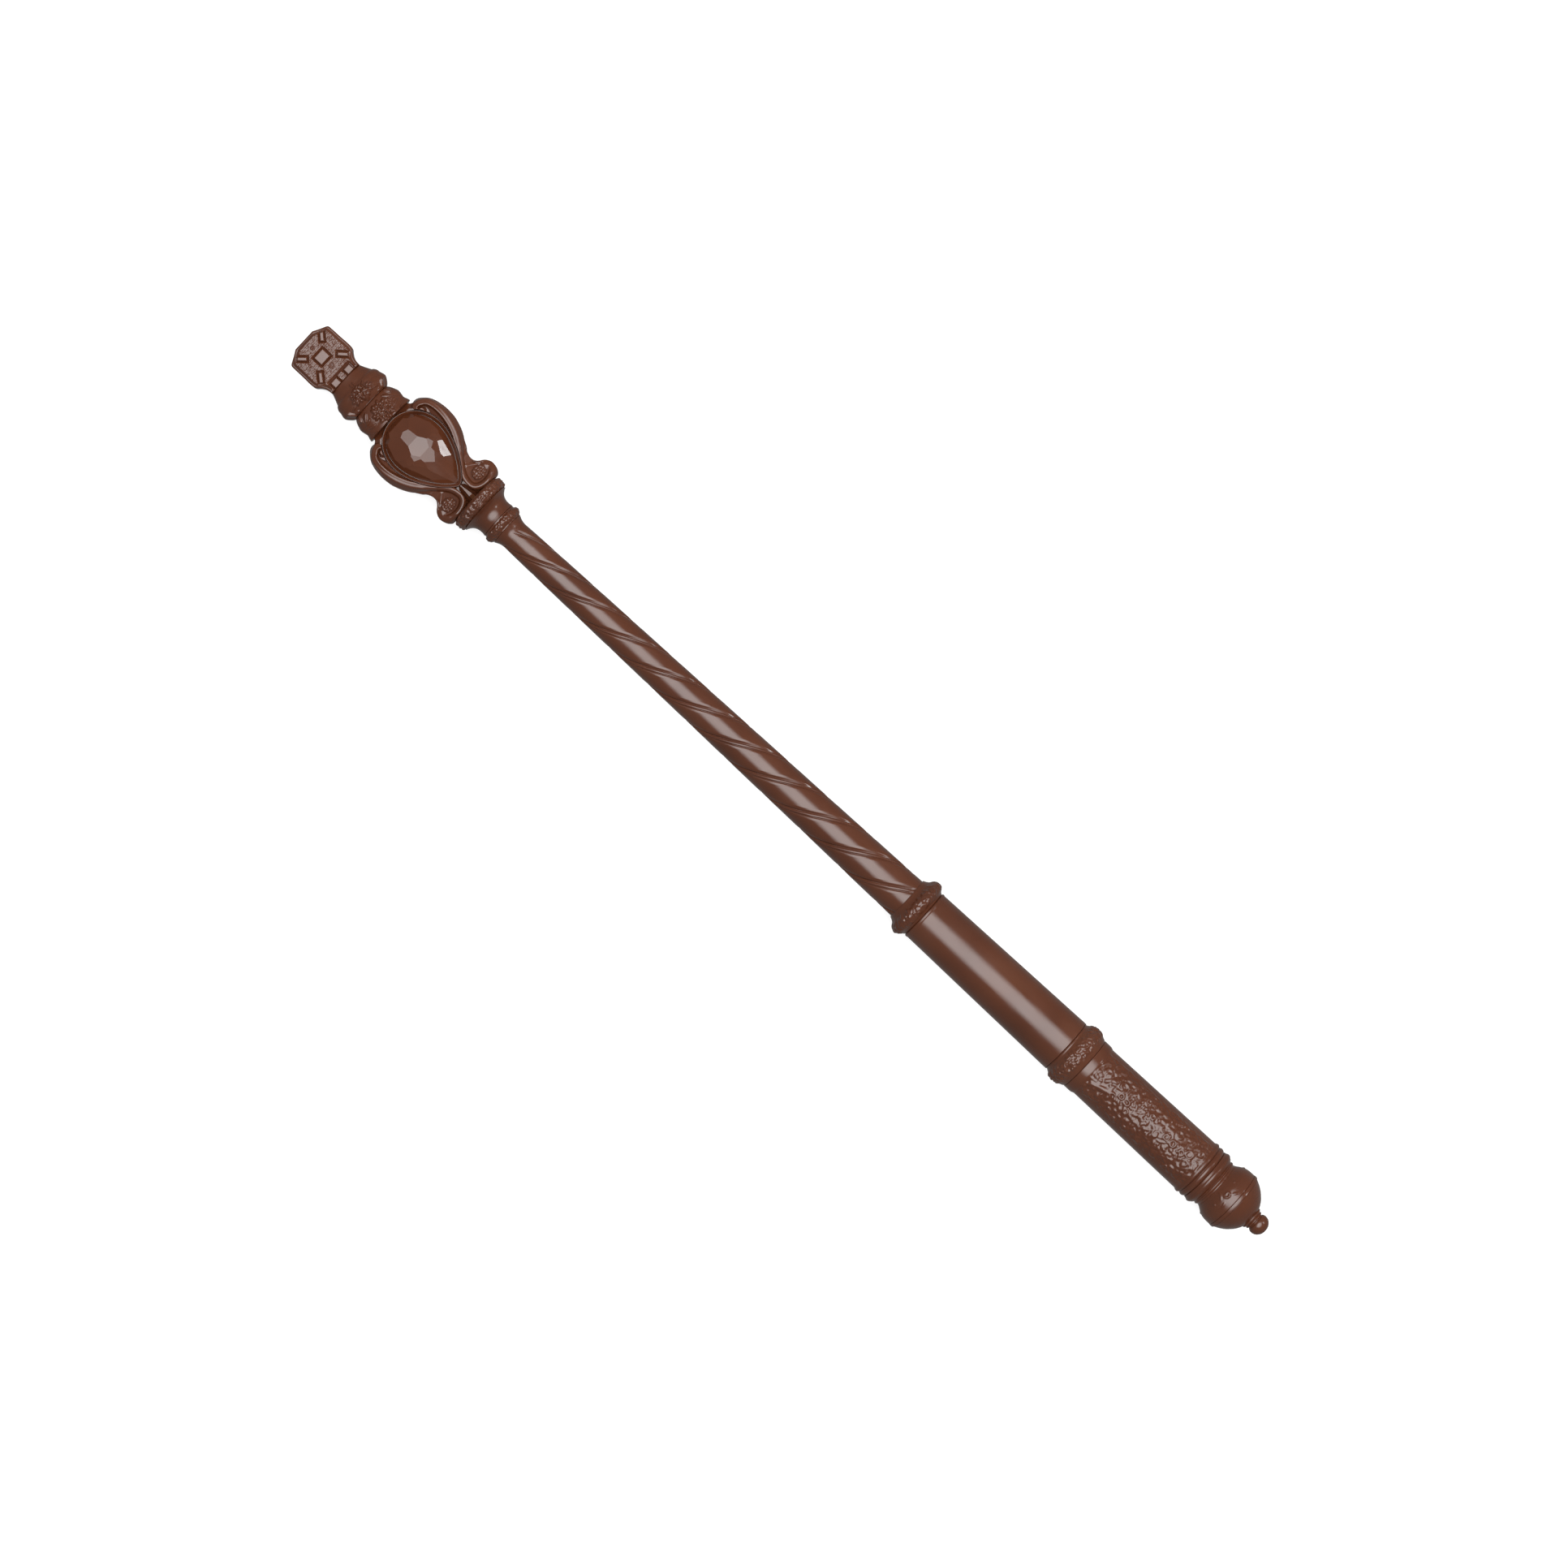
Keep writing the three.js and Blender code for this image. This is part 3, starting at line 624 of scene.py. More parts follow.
GRIP_LEAVES = (  # along, across, direction in degrees, length, bend
    (16.4, -3.4, -150, 2.6, 0.3), (20.4, 3.8, 20, 2.6, 0.4), (24.6, -2.4, 60, 2.6, -0.3),
    (26.8, -2.6, -20, 2.4, 0.4), (33.4, -2.0, 30, 2.4, 0.3), (28.8, 1.4, 150, 2.2, 0.3),
    (8.4, 2.6, 100, 2.2, 0.3), (31.6, 4.6, 10, 2.4, 0.3), (38.0, 2.6, -60, 2.2, 0.3),
    (12.4, 6.6, -20, 2.0, 0.3), (26.0, 5.8, 60, 2.6, 0.3), (6.8, -7.8, 10, 2.6, 0.3),
    (13.8, -7.0, 20, 2.6, -0.3), (31.0, -6.9, 150, 2.6, 0.3), (36.4, -7.8, 10, 2.8, 0.3),
    (20.6, -1.2, 120, 1.8, 0.3), (16.6, -1.6, 30, 1.8, 0.3),
)


def grip_relief(stations, angles):
    """Chased scrollwork in a field on the front of the grip and another on the back."""
    radius = 8.1
    relief = unrolled(span("embossed_grip")[1], stations, angles, radius, wrap=math.pi * radius)
    tall, low = 0.46, 0.34
    for row in range(5):
        relief.leaf((4.3 + 0.75 * row, 3.3 - 0.15 * row), -38, 4.6, 0.42, tall, 0.12)
    for along, across, size, start, sweep in GRIP_CURLS:
        relief.curl((along, across), size, start, sweep, 0.48, tall)
    for along, across, size in GRIP_RINGS:
        relief.ring((along, across), size, 0.34, tall)
    for along, across, size, *shape in GRIP_BEADS + GRIP_OVALS:
        relief.bead((along, across), size, low + 0.06, *shape)
    for along, across, direction, length, bend in GRIP_LEAVES:
        relief.leaf((along, across), direction, length, 0.5, low, bend)
    length = length_of("embossed_grip")
    mottled(relief, (3.6, -8.0), (length - 1.8, 7.0), 1.15, 0.62, low, seed=11)
    ends = np.clip((relief.s - 2.6) / 0.8, 0, 1) * np.clip((length - 1.0 - relief.s) / 0.8, 0, 1)
    across = relief.offset((0, -0.5))[1]
    return softened(softened(relief.height) * ends * smooth_fall(abs(across), 6.6, 8.6))


def chased_band(node, middle, half, radius, repeats, seed):
    """Relief of small curls on a mottled ground that runs round a collar's crest."""
    def rise(stations, angles):
        wrap = 2 * math.pi * radius / repeats
        relief = unrolled(span(node)[1], stations, angles, radius, wrap)
        for turn, side in enumerate((-1, 1, -1)):
            centre = (middle + 0.3 * half * side, wrap * (turn - 1) / 3)
            relief.curl(centre, 0.65 * half, 60 + 110 * turn, 300 * side, 0.34, 0.42)
        mottled(relief, (middle - half, -wrap / 2), (middle + half, wrap / 2), 0.76, 0.46, 0.4, seed)
        return softened(relief.height)
    return rise


def build_handle():
    end_ring = chain(line((0, 7.75), (0.25, 7.95), 0.1), swell((0.25, 7.95), (1.5, 8.05), 0.24, 0.1),
                     line((1.5, 8.05), (1.8, 7.95), 0.1))
    turned("grip_end_ring", end_ring, ROD_BORE, around=200, edge=0.08)

    length = length_of("embossed_grip")
    grip = chain(
        flowing((0, 8.1), (0.5, 8.4), (1.0, 8.32), (1.5, 8.05), step=GRIP_STEP),
        line((1.5, 8.05), (length - 3.2, 7.74), GRIP_STEP),
        flowing((length - 3.2, 7.74), (length - 2.6, 7.98), (length - 2.0, 8.08), (length, 8.1),
                step=GRIP_STEP),
    )
    turned("embossed_grip", grip, CORE_BORE, around=318, rise=grip_relief)

    collar = flowing((0, 8.1), (0.5, 8.3), (1.2, 8.6), (2.1, 8.8), (3.2, 8.95), (3.9, 8.95), (4.7, 8.75),
                     (5.6, 8.3), (6.2, 7.9), (6.55, 7.85), (6.9, 8.05), step=0.15)
    chasing = chased_band("grip_collar", middle=3.5, half=1.4, radius=9.2, repeats=5, seed=7)
    turned("grip_collar", collar, CORE_BORE, around=330, rise=chasing)

    lip = length_of("plain_handle") - 0.9
    handle = chain(flowing((0, 8.02), (6, 7.94), (27, 7.68), (48, 7.42), (lip, 7.38), step=0.5),
                   swell((lip, 7.38), (lip + 0.9, 7.38), 0.12, 0.08))
    turned("plain_handle", handle, CORE_BORE, around=220)

    ferrule = flowing((0, 7.2), (0.5, 7.5), (1.0, 8.05), (1.7, 8.45), (2.4, 8.6), (3.2, 8.45), (3.9, 8.0),
                      (4.6, 7.35), (5.4, 6.8), (6.1, 6.5), step=0.15)
    chasing = chased_band("shaft_ferrule", middle=3.4, half=1.0, radius=8.7, repeats=5, seed=3)
    turned("shaft_ferrule", ferrule, bore=3.6, around=310, rise=chasing)


# ------------------------------------------------------------------ shaft

SHAFT_STARTS = 4
SHAFT_LEAD = 56.2  # one turn of the spiral, left-handed
SHAFT_PHASE = math.radians(-62.5)
SHAFT_FLARE = 2.6  # length of the flare at the shaft's front
# (degrees from the crest of a spiral ridge, depth below the smooth shaft): the ridge lies between
# a narrow groove and a wide one whose far wall is a flat slope
SPIRAL_SECTION = ((-15, 0), (-8.6, 0.08), (-5.4, 0.42), (-2.4, 0.04), (2.4, 0.04), (5.6, 0.52),
                  (13.4, 0.1), (20, 0))
# Degrees of the section's points: close together over the grooves, wide apart on the smooth shaft.
SPIRAL_POINTS = np.concatenate([
    np.linspace(-45, -17, 8)[:-1], np.linspace(-17, 22, 50)[:-1], np.linspace(22, 45, 7)[:-1],
])


def spiral_profile(angle):
    """Depth below the smooth shaft, with the section's corners eased."""
    at, depth = np.transpose(SPIRAL_SECTION)
    easing = ((0.25, -0.9), (0.5, 0), (0.25, 0.9))
    return sum(share * np.interp(angle + ease, at, depth) for share, ease in easing)


def build_shaft():
    rear, front = span("shaft_ferrule")[1] - SEAM, span("spiral_shaft")[1] + SEAM
    outline = chain(
        flowing((rear, 6.2), (142, 6.04), (163, 5.72), (184, 5.47), (204, 5.18), (225, 4.9), (246, 4.62),
                (267, 4.3), (front - SHAFT_FLARE, 4.14), step=0.6),
        flowing((front - SHAFT_FLARE, 4.14), (front - 1.5, 4.3), (front - 0.7, 4.6), (front, 4.95),
                step=0.15),
    )
    starts = np.arange(SHAFT_STARTS) * 360 / SHAFT_STARTS
    around = np.radians((starts[:, None] + SPIRAL_POINTS[None, :]).ravel())
    depth = np.tile(spiral_profile(SPIRAL_POINTS), SHAFT_STARTS)[None, :]
    stations, radii = outline[:, :1], outline[:, 1:]
    fade = np.clip((front - SHAFT_FLARE + 0.6 - stations) / 2.0, 0, 1)
    fade = fade * np.clip((stations - rear) / 0.6, 0.25, 1)
    angles = around[None, :] - 2 * math.pi * (stations - rear) / SHAFT_LEAD + SHAFT_PHASE
    r = radii - depth * fade * (0.55 + 0.45 * radii / radii.max())
    skin = np.stack([stations + 0 * r, r * np.cos(angles), r * np.sin(angles)], -1)
    make_piece("spiral_shaft", *bored(skin, angles, ROD_BORE))


# ------------------------------------------------------------------ neck

SOCKET_BORE = 4.3  # of the two pieces that sit on the head's socket


def mottled_ring(node, radius, spacing, size, height, margin, seed, repeats=4):
    """Relief of small irregular blobs all round a narrow ring."""
    def rise(stations, angles):
        wrap = 2 * math.pi * radius / repeats
        relief = unrolled(span(node)[1], stations, angles, radius, wrap)
        low, high = (margin, -wrap / 2), (length_of(node) - margin, wrap / 2)
        mottled(relief, low, high, spacing, size, height, seed)
        return softened(relief.height)
    return rise


def build_neck():
    ring = chain(line((0, 4.95), (0.35, 5.0), 0.1), swell((0.35, 5.0), (2.6, 5.35), 0.5, 0.12),
                 line((2.6, 5.35), (3.1, 5.35), 0.12))
    blobs = mottled_ring("neck_ring", 5.8, spacing=0.66, size=0.4, height=0.36, margin=0.9, seed=8)
    turned("neck_ring", ring, ROD_BORE, around=240, rise=blobs, edge=0.08)

    spool = flowing((0, 5.48), (1.1, 5.32), (2.3, 5.42), (3.3, 5.85), (4.0, 6.5), (4.8, 7.7), step=0.12)
    turned("neck_spool", spool, SOCKET_BORE, around=200, edge=0.08)

    collar = flowing((0, 7.4), (0.5, 7.82), (1.2, 8.08), (1.9, 8.16), (2.6, 8.1), (3.1, 7.9), (3.4, 7.6),
                     step=0.12)
    blobs = mottled_ring("head_collar", 8.1, spacing=0.74, size=0.48, height=0.48, margin=0.7, seed=9)
    turned("head_collar", collar, SOCKET_BORE, around=320, rise=blobs, edge=0.1)


# ------------------------------------------------------------------ flat pieces of the head


def evenly(path, spacing):
    """The path resampled at about one spacing, ends kept."""
    path = np.array(path, float)
    steps = np.linalg.norm(np.diff(path, axis=0), axis=1)
    run = np.concatenate([[0], np.cumsum(steps)])
    count = max(2, round(run[-1] / spacing))
    at = np.linspace(0, run[-1], count + 1)
    return np.stack([np.interp(at, run, path[:, k]) for k in (0, 1)], -1)


def closed_evenly(outline, spacing):
    """A closed outline resampled evenly and turned counter-clockwise, last point not repeated."""
    outline = np.array(outline, float)
    if not np.allclose(outline[0], outline[-1]):
        outline = np.vstack([outline, outline[:1]])
    ring = evenly(outline, spacing)[:-1]
    x, y = ring.T
    area = (x * np.roll(y, -1) - y * np.roll(x, -1)).sum()
    return ring if area > 0 else ring[::-1]


def inset(ring, distance):
    """A closed outline moved inwards by a small distance."""
    ahead, behind = np.roll(ring, -1, axis=0), np.roll(ring, 1, axis=0)
    along = ahead - behind
    along /= np.maximum(np.linalg.norm(along, axis=1, keepdims=True), 1e-9)
    inward = np.stack([-along[:, 1], along[:, 0]], -1)
    return ring + distance * inward


def within(points, ring):
    """True for the points inside a closed outline."""
    x, y = points[:, :1], points[:, 1:]
    ax, ay = ring.T
    bx, by = np.roll(ax, -1), np.roll(ay, -1)
    rise = np.where(by == ay, 1e-12, by - ay)
    crossed = ((ay > y) != (by > y)) & (x < ax + (y - ay) * (bx - ax) / rise)
    return crossed.sum(1) % 2 == 1


def measure(points, path):
    """Distance from each point to a path, its side (left is +1) and the share of the path."""
    starts, ends = path[:-1], path[1:]
    run = ends - starts
    lengths = np.maximum((run**2).sum(1), 1e-12)
    rel = points[:, None, :] - starts[None]
    u = np.clip((rel * run[None]).sum(2) / lengths, 0, 1)
    gap = rel - u[..., None] * run[None]
    distance = np.sqrt((gap**2).sum(2))
    best = distance.argmin(1)
    pick = np.arange(len(points))
    cross = run[best, 0] * rel[pick, best, 1] - run[best, 1] * rel[pick, best, 0]
    total = np.concatenate([[0], np.cumsum(np.sqrt(lengths))])
    share = (total[best] + u[pick, best] * np.sqrt(lengths[best])) / total[-1]
    return distance[pick, best], np.sign(cross), share


def slab(outline, floor, top, spacing, edge):
    """Vertices and faces of a closed relief standing on z = floor.

    top(points) is its surface, and its rim is rounded by edge. The last face is the floor.
    """
    ring = closed_evenly(outline, spacing)
    count = len(ring)
    rows = [np.column_stack([ring, np.full(count, floor)])]
    for turn in np.radians([0, 30, 60, 90]):
        rim = inset(ring, edge * (1 - math.cos(turn)))
        rows.append(np.column_stack([rim, top(rim) - edge * (1 - math.sin(turn))]))
    last = rows[-1][:, :2]
    low, high = last.min(0), last.max(0)
    xs = np.arange(low[0], high[0], spacing)
    ys = np.arange(low[1], high[1], spacing * 0.87)
    grid = np.stack(np.meshgrid(xs, ys, indexing="ij"), -1)
    grid[:, 1::2, 0] += spacing / 2
    grid = grid.reshape(-1, 2)
    grid = grid[within(grid, last)]
    grid = grid[measure(grid, looped(last))[0] > 0.55 * spacing]
    points = [Vector(p) for p in np.vstack([last, grid]).tolist()]
    found = delaunay_2d_cdt(points, [], [list(range(count))], 1, 1e-6)
    surface = np.array([v[:] for v in found[0]])
    walls = np.vstack(rows[:-1])
    faces = ring_faces(len(rows), count, closed=False).tolist()
    faces += [[len(walls) + a for a in f] for f in found[2]]
    faces.append(list(range(count))[::-1])
    return np.vstack([walls, np.column_stack([surface, top(surface)])]), faces


def looped(ring):
    """A closed outline with its first point repeated at the end."""
    return np.vstack([ring, ring[:1]])


def joined(shapes):
    """Several (vertices, faces) shapes as one."""
    vertices, faces, start = [], [], 0
    for points, polygons in shapes:
        vertices.append(points)
        faces += [[start + v for v in f] for f in polygons]
        start += len(points)
    return np.vstack(vertices), faces


def two_faced(top, faces):
    """A slab that stands on z = 0 and the same slab below it, without the floor between them."""
    upper = faces[:-1]
    return [(top, upper), (top * (1, 1, -1), [f[::-1] for f in upper])]


def turned_over(vertices):
    """The same shape on the wand's other face."""
    return np.asarray(vertices) * (1, -1, -1)


def mirrored(vertices):
    """The same shape on the other side of the wand's axis."""
    return np.asarray(vertices) * (1, -1, 1)


def on_both_faces(name, vertices, faces, **options):
    make_piece(name + "_front", vertices, faces, **options)
    make_piece(name + "_back", turned_over(vertices), faces, **options)


def oval(centre, half, turns):
    """Points of an oval at the given angles."""
    return centre + half * np.stack([np.cos(turns), np.sin(turns)], -1)


# ------------------------------------------------------------------ head

PLATE_TOP = 1.6  # height that the gem, its bezel and the arms stand on
GEM_POINT = (294.2, 0)
GEM_LENGTH = 23.1
GEM_HALF = 7.8
POINTEDNESS = 0.685
GEM_MIDDLE = 307.8  # station of the middle of the table facet
GEM_CENTRE = 305.7  # station that the edge facets are shared round
GEM_HEIGHT = 4.2
GEM_MARGIN = 1.0  # width of the steep facets round its edge
# Facets as (fall per mm towards the tail, fall per mm outwards, height above the table where the
# facet's plane passes over the middle). All are cut on both sides of the wand's axis.
GEM_FACETS = (
    (0.0, 0.0, 0.0), (0.29, 0.0, 0.609), (0.14, 0.225, 0.68), (-0.155, 0.0, 0.326), (-0.19, 0.35, 1.035),
    (0.10, 0.38, 1.19), (0.309, 0.310, 1.30), (0.39, 0.10, 1.189), (0.397, 0.444, 2.128),
    (0.481, 0.389, 2.529), (0.297, 0.510, 2.181), (0.0, 0.55, 2.035), (-0.20, 0.50, 2.24),
    (-0.36, 0.36, 2.24), (-0.45, 0.12, 2.05),
)
BEZEL_PROFILE = (  # (share of the way from the gem outwards, height above the plate)
    (0.0, 0.0), (0.0, 0.2), (0.1, 0.27), (0.3, 0.44), (0.5, 0.62), (0.66, 0.78), (0.74, 0.84),
    (0.8, 0.84), (0.86, 0.74), (0.92, 0.56), (1.0, 0.38), (1.0, 0.0),
)

VOLUTE = np.array([290.9, 5.85])  # middle of a volute's loop
VOLUTE_HALF = np.array([2.5, 4.0])
ROSETTE = np.array([291.7, 5.95])
ROSETTE_HALF = np.array([1.75, 2.2])
NOTCH = 295.8  # station of the notch in the head's outline
ARM_BODY = 1.2  # heights of an arm above the plate
ARM_CREST = 1.25
ARM_LIMIT = 2.45
DART_REAR = 288.0
DART_FRONT = 292.4


def pear(grow=0.0):
    """The gem's pear outline, from its point round to its point, grown outwards."""
    a = np.linspace(0, 2 * math.pi, 160, endpoint=False)
    x = GEM_POINT[0] + GEM_LENGTH * (1 - np.cos(a)) / 2
    shape = np.sin(a) * np.sin(a / 2) ** POINTEDNESS
    y = GEM_HALF * shape / shape.max()
    return inset(closed_evenly(np.stack([x, y], -1), 0.15), -grow)


def gem_fall(x, y):
    """How far the cut gem lies below its table at a plan point."""
    return max(tailwards * (GEM_MIDDLE - x) + outwards * abs(y) - above
               for tailwards, outwards, above in GEM_FACETS)


def gem_edge_facets():
    """Steep facets that follow the gem's edge, from beside its point round to the tip side."""
    ring = pear()
    ahead, behind = np.roll(ring, -1, axis=0), np.roll(ring, 1, axis=0)
    planes = []
    for turn in np.radians((22, 46, 68, 90, 112, 134, 155, 176)):
        around = np.arctan2(ring[:, 1], GEM_CENTRE - ring[:, 0])
        k = abs(around - turn).argmin()
        along = (ahead[k] - behind[k]) / np.linalg.norm(ahead[k] - behind[k])
        outward = np.array((along[1], -along[0]))
        inner = ring[k] - GEM_MARGIN * outward
        fallen = gem_fall(*inner)
        slope = min(1.2, (GEM_HEIGHT - 0.4 - fallen) / GEM_MARGIN)
        if slope < 0.8:
            continue
        tailwards, outwards = -slope * outward[0], slope * outward[1]
        above = tailwards * (GEM_MIDDLE - inner[0]) + outwards * inner[1] - fallen
        planes.append((tailwards, outwards, above))
    return planes


def clipped(polygon, a, b, c):
    """The part of a convex polygon where a * x + b * y + c is not negative."""
    kept = []
    values = [a * x + b * y + c for x, y in polygon]
    for k, (p, value) in enumerate(zip(polygon, values)):
        q, following = polygon[(k + 1) % len(polygon)], values[(k + 1) % len(polygon)]
        if value >= 0:
            kept.append(p)
        if (value > 0 > following) or (value < 0 < following):
            share = value / (value - following)
            kept.append((p[0] + share * (q[0] - p[0]), p[1] + share * (q[1] - p[1])))
    return kept


def gem_polygons(outline):
    """The plan of every facet with the height of its corners."""
    planes = []
    for towards_tail, outwards, above in (*GEM_FACETS, *gem_edge_facets()):
        for side in (-1, 1) if outwards else (1,):
            planes.append((towards_tail, side * outwards, above))
    polygons = []
    for i, (ta, ya, ca) in enumerate(planes):
        polygon = outline
        for j, (tb, yb, cb) in enumerate(planes):
            if i != j and len(polygon) > 2:
                polygon = clipped(polygon, tb - ta, ya - yb, (ta - tb) * GEM_MIDDLE - ca + cb)
        if len(polygon) > 2:
            top = PLATE_TOP + GEM_HEIGHT + ca
            polygons.append([(x, y, top - ta * (GEM_MIDDLE - x) - ya * y) for x, y in polygon])
    return polygons


def build_gem():
    """A pear cut in planar facets round a flat table, with its arrises just broken."""
    outline = [tuple(p) for p in closed_evenly(pear(), 0.6).tolist()]
    ring = np.array(outline + outline[:1])
    work = bmesh.new()
    rim = {}
    for polygon in gem_polygons(outline):
        work.faces.new([work.verts.new(p) for p in polygon])
        for p, q in zip(polygon, polygon[1:] + polygon[:1]):
            middle = np.array([[(p[0] + q[0]) / 2, (p[1] + q[1]) / 2]])
            if measure(middle, ring)[0][0] < 1e-6:
                base = [(q[0], q[1], PLATE_TOP), (p[0], p[1], PLATE_TOP)]
                work.faces.new([work.verts.new(v) for v in (q, p, base[1], base[0])])
                rim[math.atan2(p[1], p[0] - GEM_MIDDLE)] = base[1]
    work.faces.new([work.verts.new(rim[turn]) for turn in sorted(rim)])
    bmesh.ops.remove_doubles(work, verts=work.verts, dist=1e-4)
    arrises = [e for e in work.edges if min(v.co.z for v in e.verts) > PLATE_TOP + 0.1]
    bmesh.ops.bevel(work, geom=arrises, offset=0.05, segments=1, affect="EDGES", clamp_overlap=True)
    work.verts.index_update()
    vertices = [v.co[:] for v in work.verts]
    faces = [[v.index for v in f.verts] for f in work.faces]
    work.free()
    on_both_faces("gem", vertices, faces, material=GEM, sharp=1)


def build_bezel():
    """A collar round the gem that slopes down to it, and steeply down to the plate outside."""
    inner, outer = pear(0.12), pear(1.2)
    rows = []
    for share, height in BEZEL_PROFILE:
        path = inner + (outer - inner) * share
        rows.append(np.column_stack([path, np.full(len(path), PLATE_TOP + height)]))
    on_both_faces("gem_bezel", np.concatenate(rows), ring_faces(len(rows), len(inner)))


def arm_crest():
    """Plan of one arm's crest: a small hook at the tip side, the long sweep, then round the volute."""
    hook = chain(
        bezier((314.0, 7.6), (313.9, 6.9), (314.6, 6.3), (315.3, 6.5), 0.15),
        bezier((315.3, 6.5), (316.2, 6.8), (316.5, 7.6), (315.9, 8.8), 0.15),
    )
    sweep = flowing((315.9, 8.8), (314.7, 10.3), (312.3, 11.0), (309.4, 10.95), (306.2, 10.25),
                    (303.1, 9.0), (300.0, 6.95), (297.9, 5.15), (295.7, 3.35), (293.95, 2.3),
                    (292.4, 1.85), (290.9, 1.75))
    return chain(hook, sweep, oval(VOLUTE, VOLUTE_HALF, np.radians(np.linspace(-96, -300, 60))))


def arm_rim():
    """Plan of one arm's outer edge, from the hook to the tail side of the volute."""
    return flowing((317.0, 6.6), (317.5, 8.2), (317.0, 9.7), (315.2, 11.4), (313.5, 12.15), (311.3, 12.6),
                   (309.2, 12.7), (307, 12.5), (305.25, 12.0), (303.5, 11.33), (301.8, 10.4),
                   (300.9, 9.75), (299.2, 8.75), (298.3, 7.98), (297.2, 7.45), (295.9, 7.27),
                   (294.8, 7.48), (293.95, 8.12), (293.1, 9.3), (292.2, 10.0), (291.2, 10.36),
                   (290.2, 10.32), (288.9, 9.85), (287.95, 9.0), (287.75, 8.2))


def arm_outline():
    """Plan of one arm: outer edge from the hook to the volute, round it, and back beside the gem."""
    inside = flowing((287.75, 4.2), (288.3, 2.7), (289.4, 1.75), (290.9, 1.35), (292.4, 1.33))
    beside_gem = pear(1.25)
    beside_gem = beside_gem[(beside_gem[:, 1] > 1.4) & (beside_gem[:, 0] < 315.9)]
    beside_gem = beside_gem[np.argsort(beside_gem[:, 0])]
    return chain(arm_rim(), line((287.75, 8.2), (287.75, 4.2)), inside, beside_gem)


def arm_top(points):
    """Height of one arm at plan points: a broad crest on a body that rolls off at the outer edge."""
    distance, side, share = measure(points, arm_crest())
    outer, stations = side < 0, points[:, 0]
    rim = measure(points, arm_rim())[0]
    open_end = smooth_fall(share, 0.86, 0.99)
    volute = smooth_fall(stations, 296.5, 300.5)
    notch = smooth_fall(abs(stations - NOTCH), 1.2, 3.2)
    body = ARM_BODY - (1 - notch) * np.clip(1 - rim / 2.8, 0, 1) ** 2
    fall = np.where(side > 0, 0.5, 0.12 + 0.28 * volute)
    trough = fall * np.clip(distance - 0.8, 0, 2.6) * np.maximum(open_end, volute * outer)
    reach = 1.35 + 0.75 * smooth_fall(abs(stations - 305.5), 3.0, 7.5)
    broad = smooth_fall(distance, 0.6, np.where(outer, reach, 1.3))
    narrow = np.clip(1 - (distance / 1.2) ** 2, 0, 1)
    crest = ARM_CREST * (broad * (1 - volute) + narrow * volute) * open_end
    crest -= 0.045 * smooth_fall(distance, 0.0, 0.5) * (1 - volute)
    from_rosette = ROSETTE_HALF[0] * (np.linalg.norm((points - ROSETTE) / ROSETTE_HALF, axis=1) - 1)
    ridge = np.minimum(0.42 * np.clip(rim - 0.1, 0, 2.2), 0.1 + 0.45 * np.clip(from_rosette, 0, 3))
    floor = 0.15 + np.where(outer, ridge, 0)
    return PLATE_TOP + np.clip(body - trough + crest, floor, ARM_LIMIT)


def build_arms():
    vertices, faces = slab(arm_outline(), PLATE_TOP, arm_top, 0.12, 0.2)
    on_both_faces("scroll_arm_right", vertices, faces)
    on_both_faces("scroll_arm_left", mirrored(vertices), faces)


def rosette_top(points):
    """A small domed flower of irregular blobs."""
    away = (points - ROSETTE) / ROSETTE_HALF
    dome = 0.45 * np.sqrt(np.clip(1.05 - (away**2).sum(1), 0, 1))
    petals = Relief(ROSETTE[0] - points[:, 0], points[:, 1] - ROSETTE[1])
    random = np.random.default_rng(4)
    for ring, count in ((0.0, 1), (0.42, 5), (0.82, 9)):
        for k in range(count):
            turn = 2 * math.pi * (k + random.random() * 0.4) / count
            centre = ring * ROSETTE_HALF * (math.cos(turn), math.sin(turn))
            radius, height = 0.46 + 0.14 * random.random(), 0.22 + 0.18 * random.random()
            petals.bead(centre, radius, height, 1.3, 180 * random.random())
    return PLATE_TOP + 0.85 + dome + petals.height


def build_rosettes():
    edge = oval(ROSETTE, ROSETTE_HALF, np.linspace(0, 2 * math.pi, 48, endpoint=False))
    vertices, faces = slab(edge, PLATE_TOP, rosette_top, 0.1, 0.12)
    on_both_faces("volute_rosette_right", vertices, faces)
    on_both_faces("volute_rosette_left", mirrored(vertices), faces)


def plate_outline():
    rear = span("head_collar")[1]
    half = chain(
        line((rear, 3.5), (rear + 0.1, 6.2)),
        flowing((rear + 0.1, 6.2), (288.3, 8.4), (289.7, 9.5), (291.0, 9.8), (292.2, 9.4), (293.2, 8.3),
                (294.2, 7.2), (295.8, 6.9), (297.4, 7.1), (299.4, 8.3), (302.0, 9.9), (305.25, 11.5),
                (309.2, 12.2), (313.5, 11.6), (316.0, 10.0), (317.1, 8.4), (317.8, 7.0)),
        line((317.8, 7.0), (318.6, 6.4)), line((318.6, 6.4), (318.7, 2.6)), line((318.7, 2.6), (328, 2.6)),
    )
    return np.vstack([half, half[::-1] * (1, -1)])


def plate_top(points):
    """The plate falls away towards its rim, and is lower beside the dart."""
    rim = measure(points, looped(closed_evenly(plate_outline(), 0.3)))[0]
    height = 1.5 - 0.75 * smooth_fall(rim, 0, 1.6)
    beside = smooth_fall(points[:, 0], 293.2, 294.6) * smooth_fall(abs(points[:, 1]), 1.4, 2.2)
    return height - 0.7 * beside


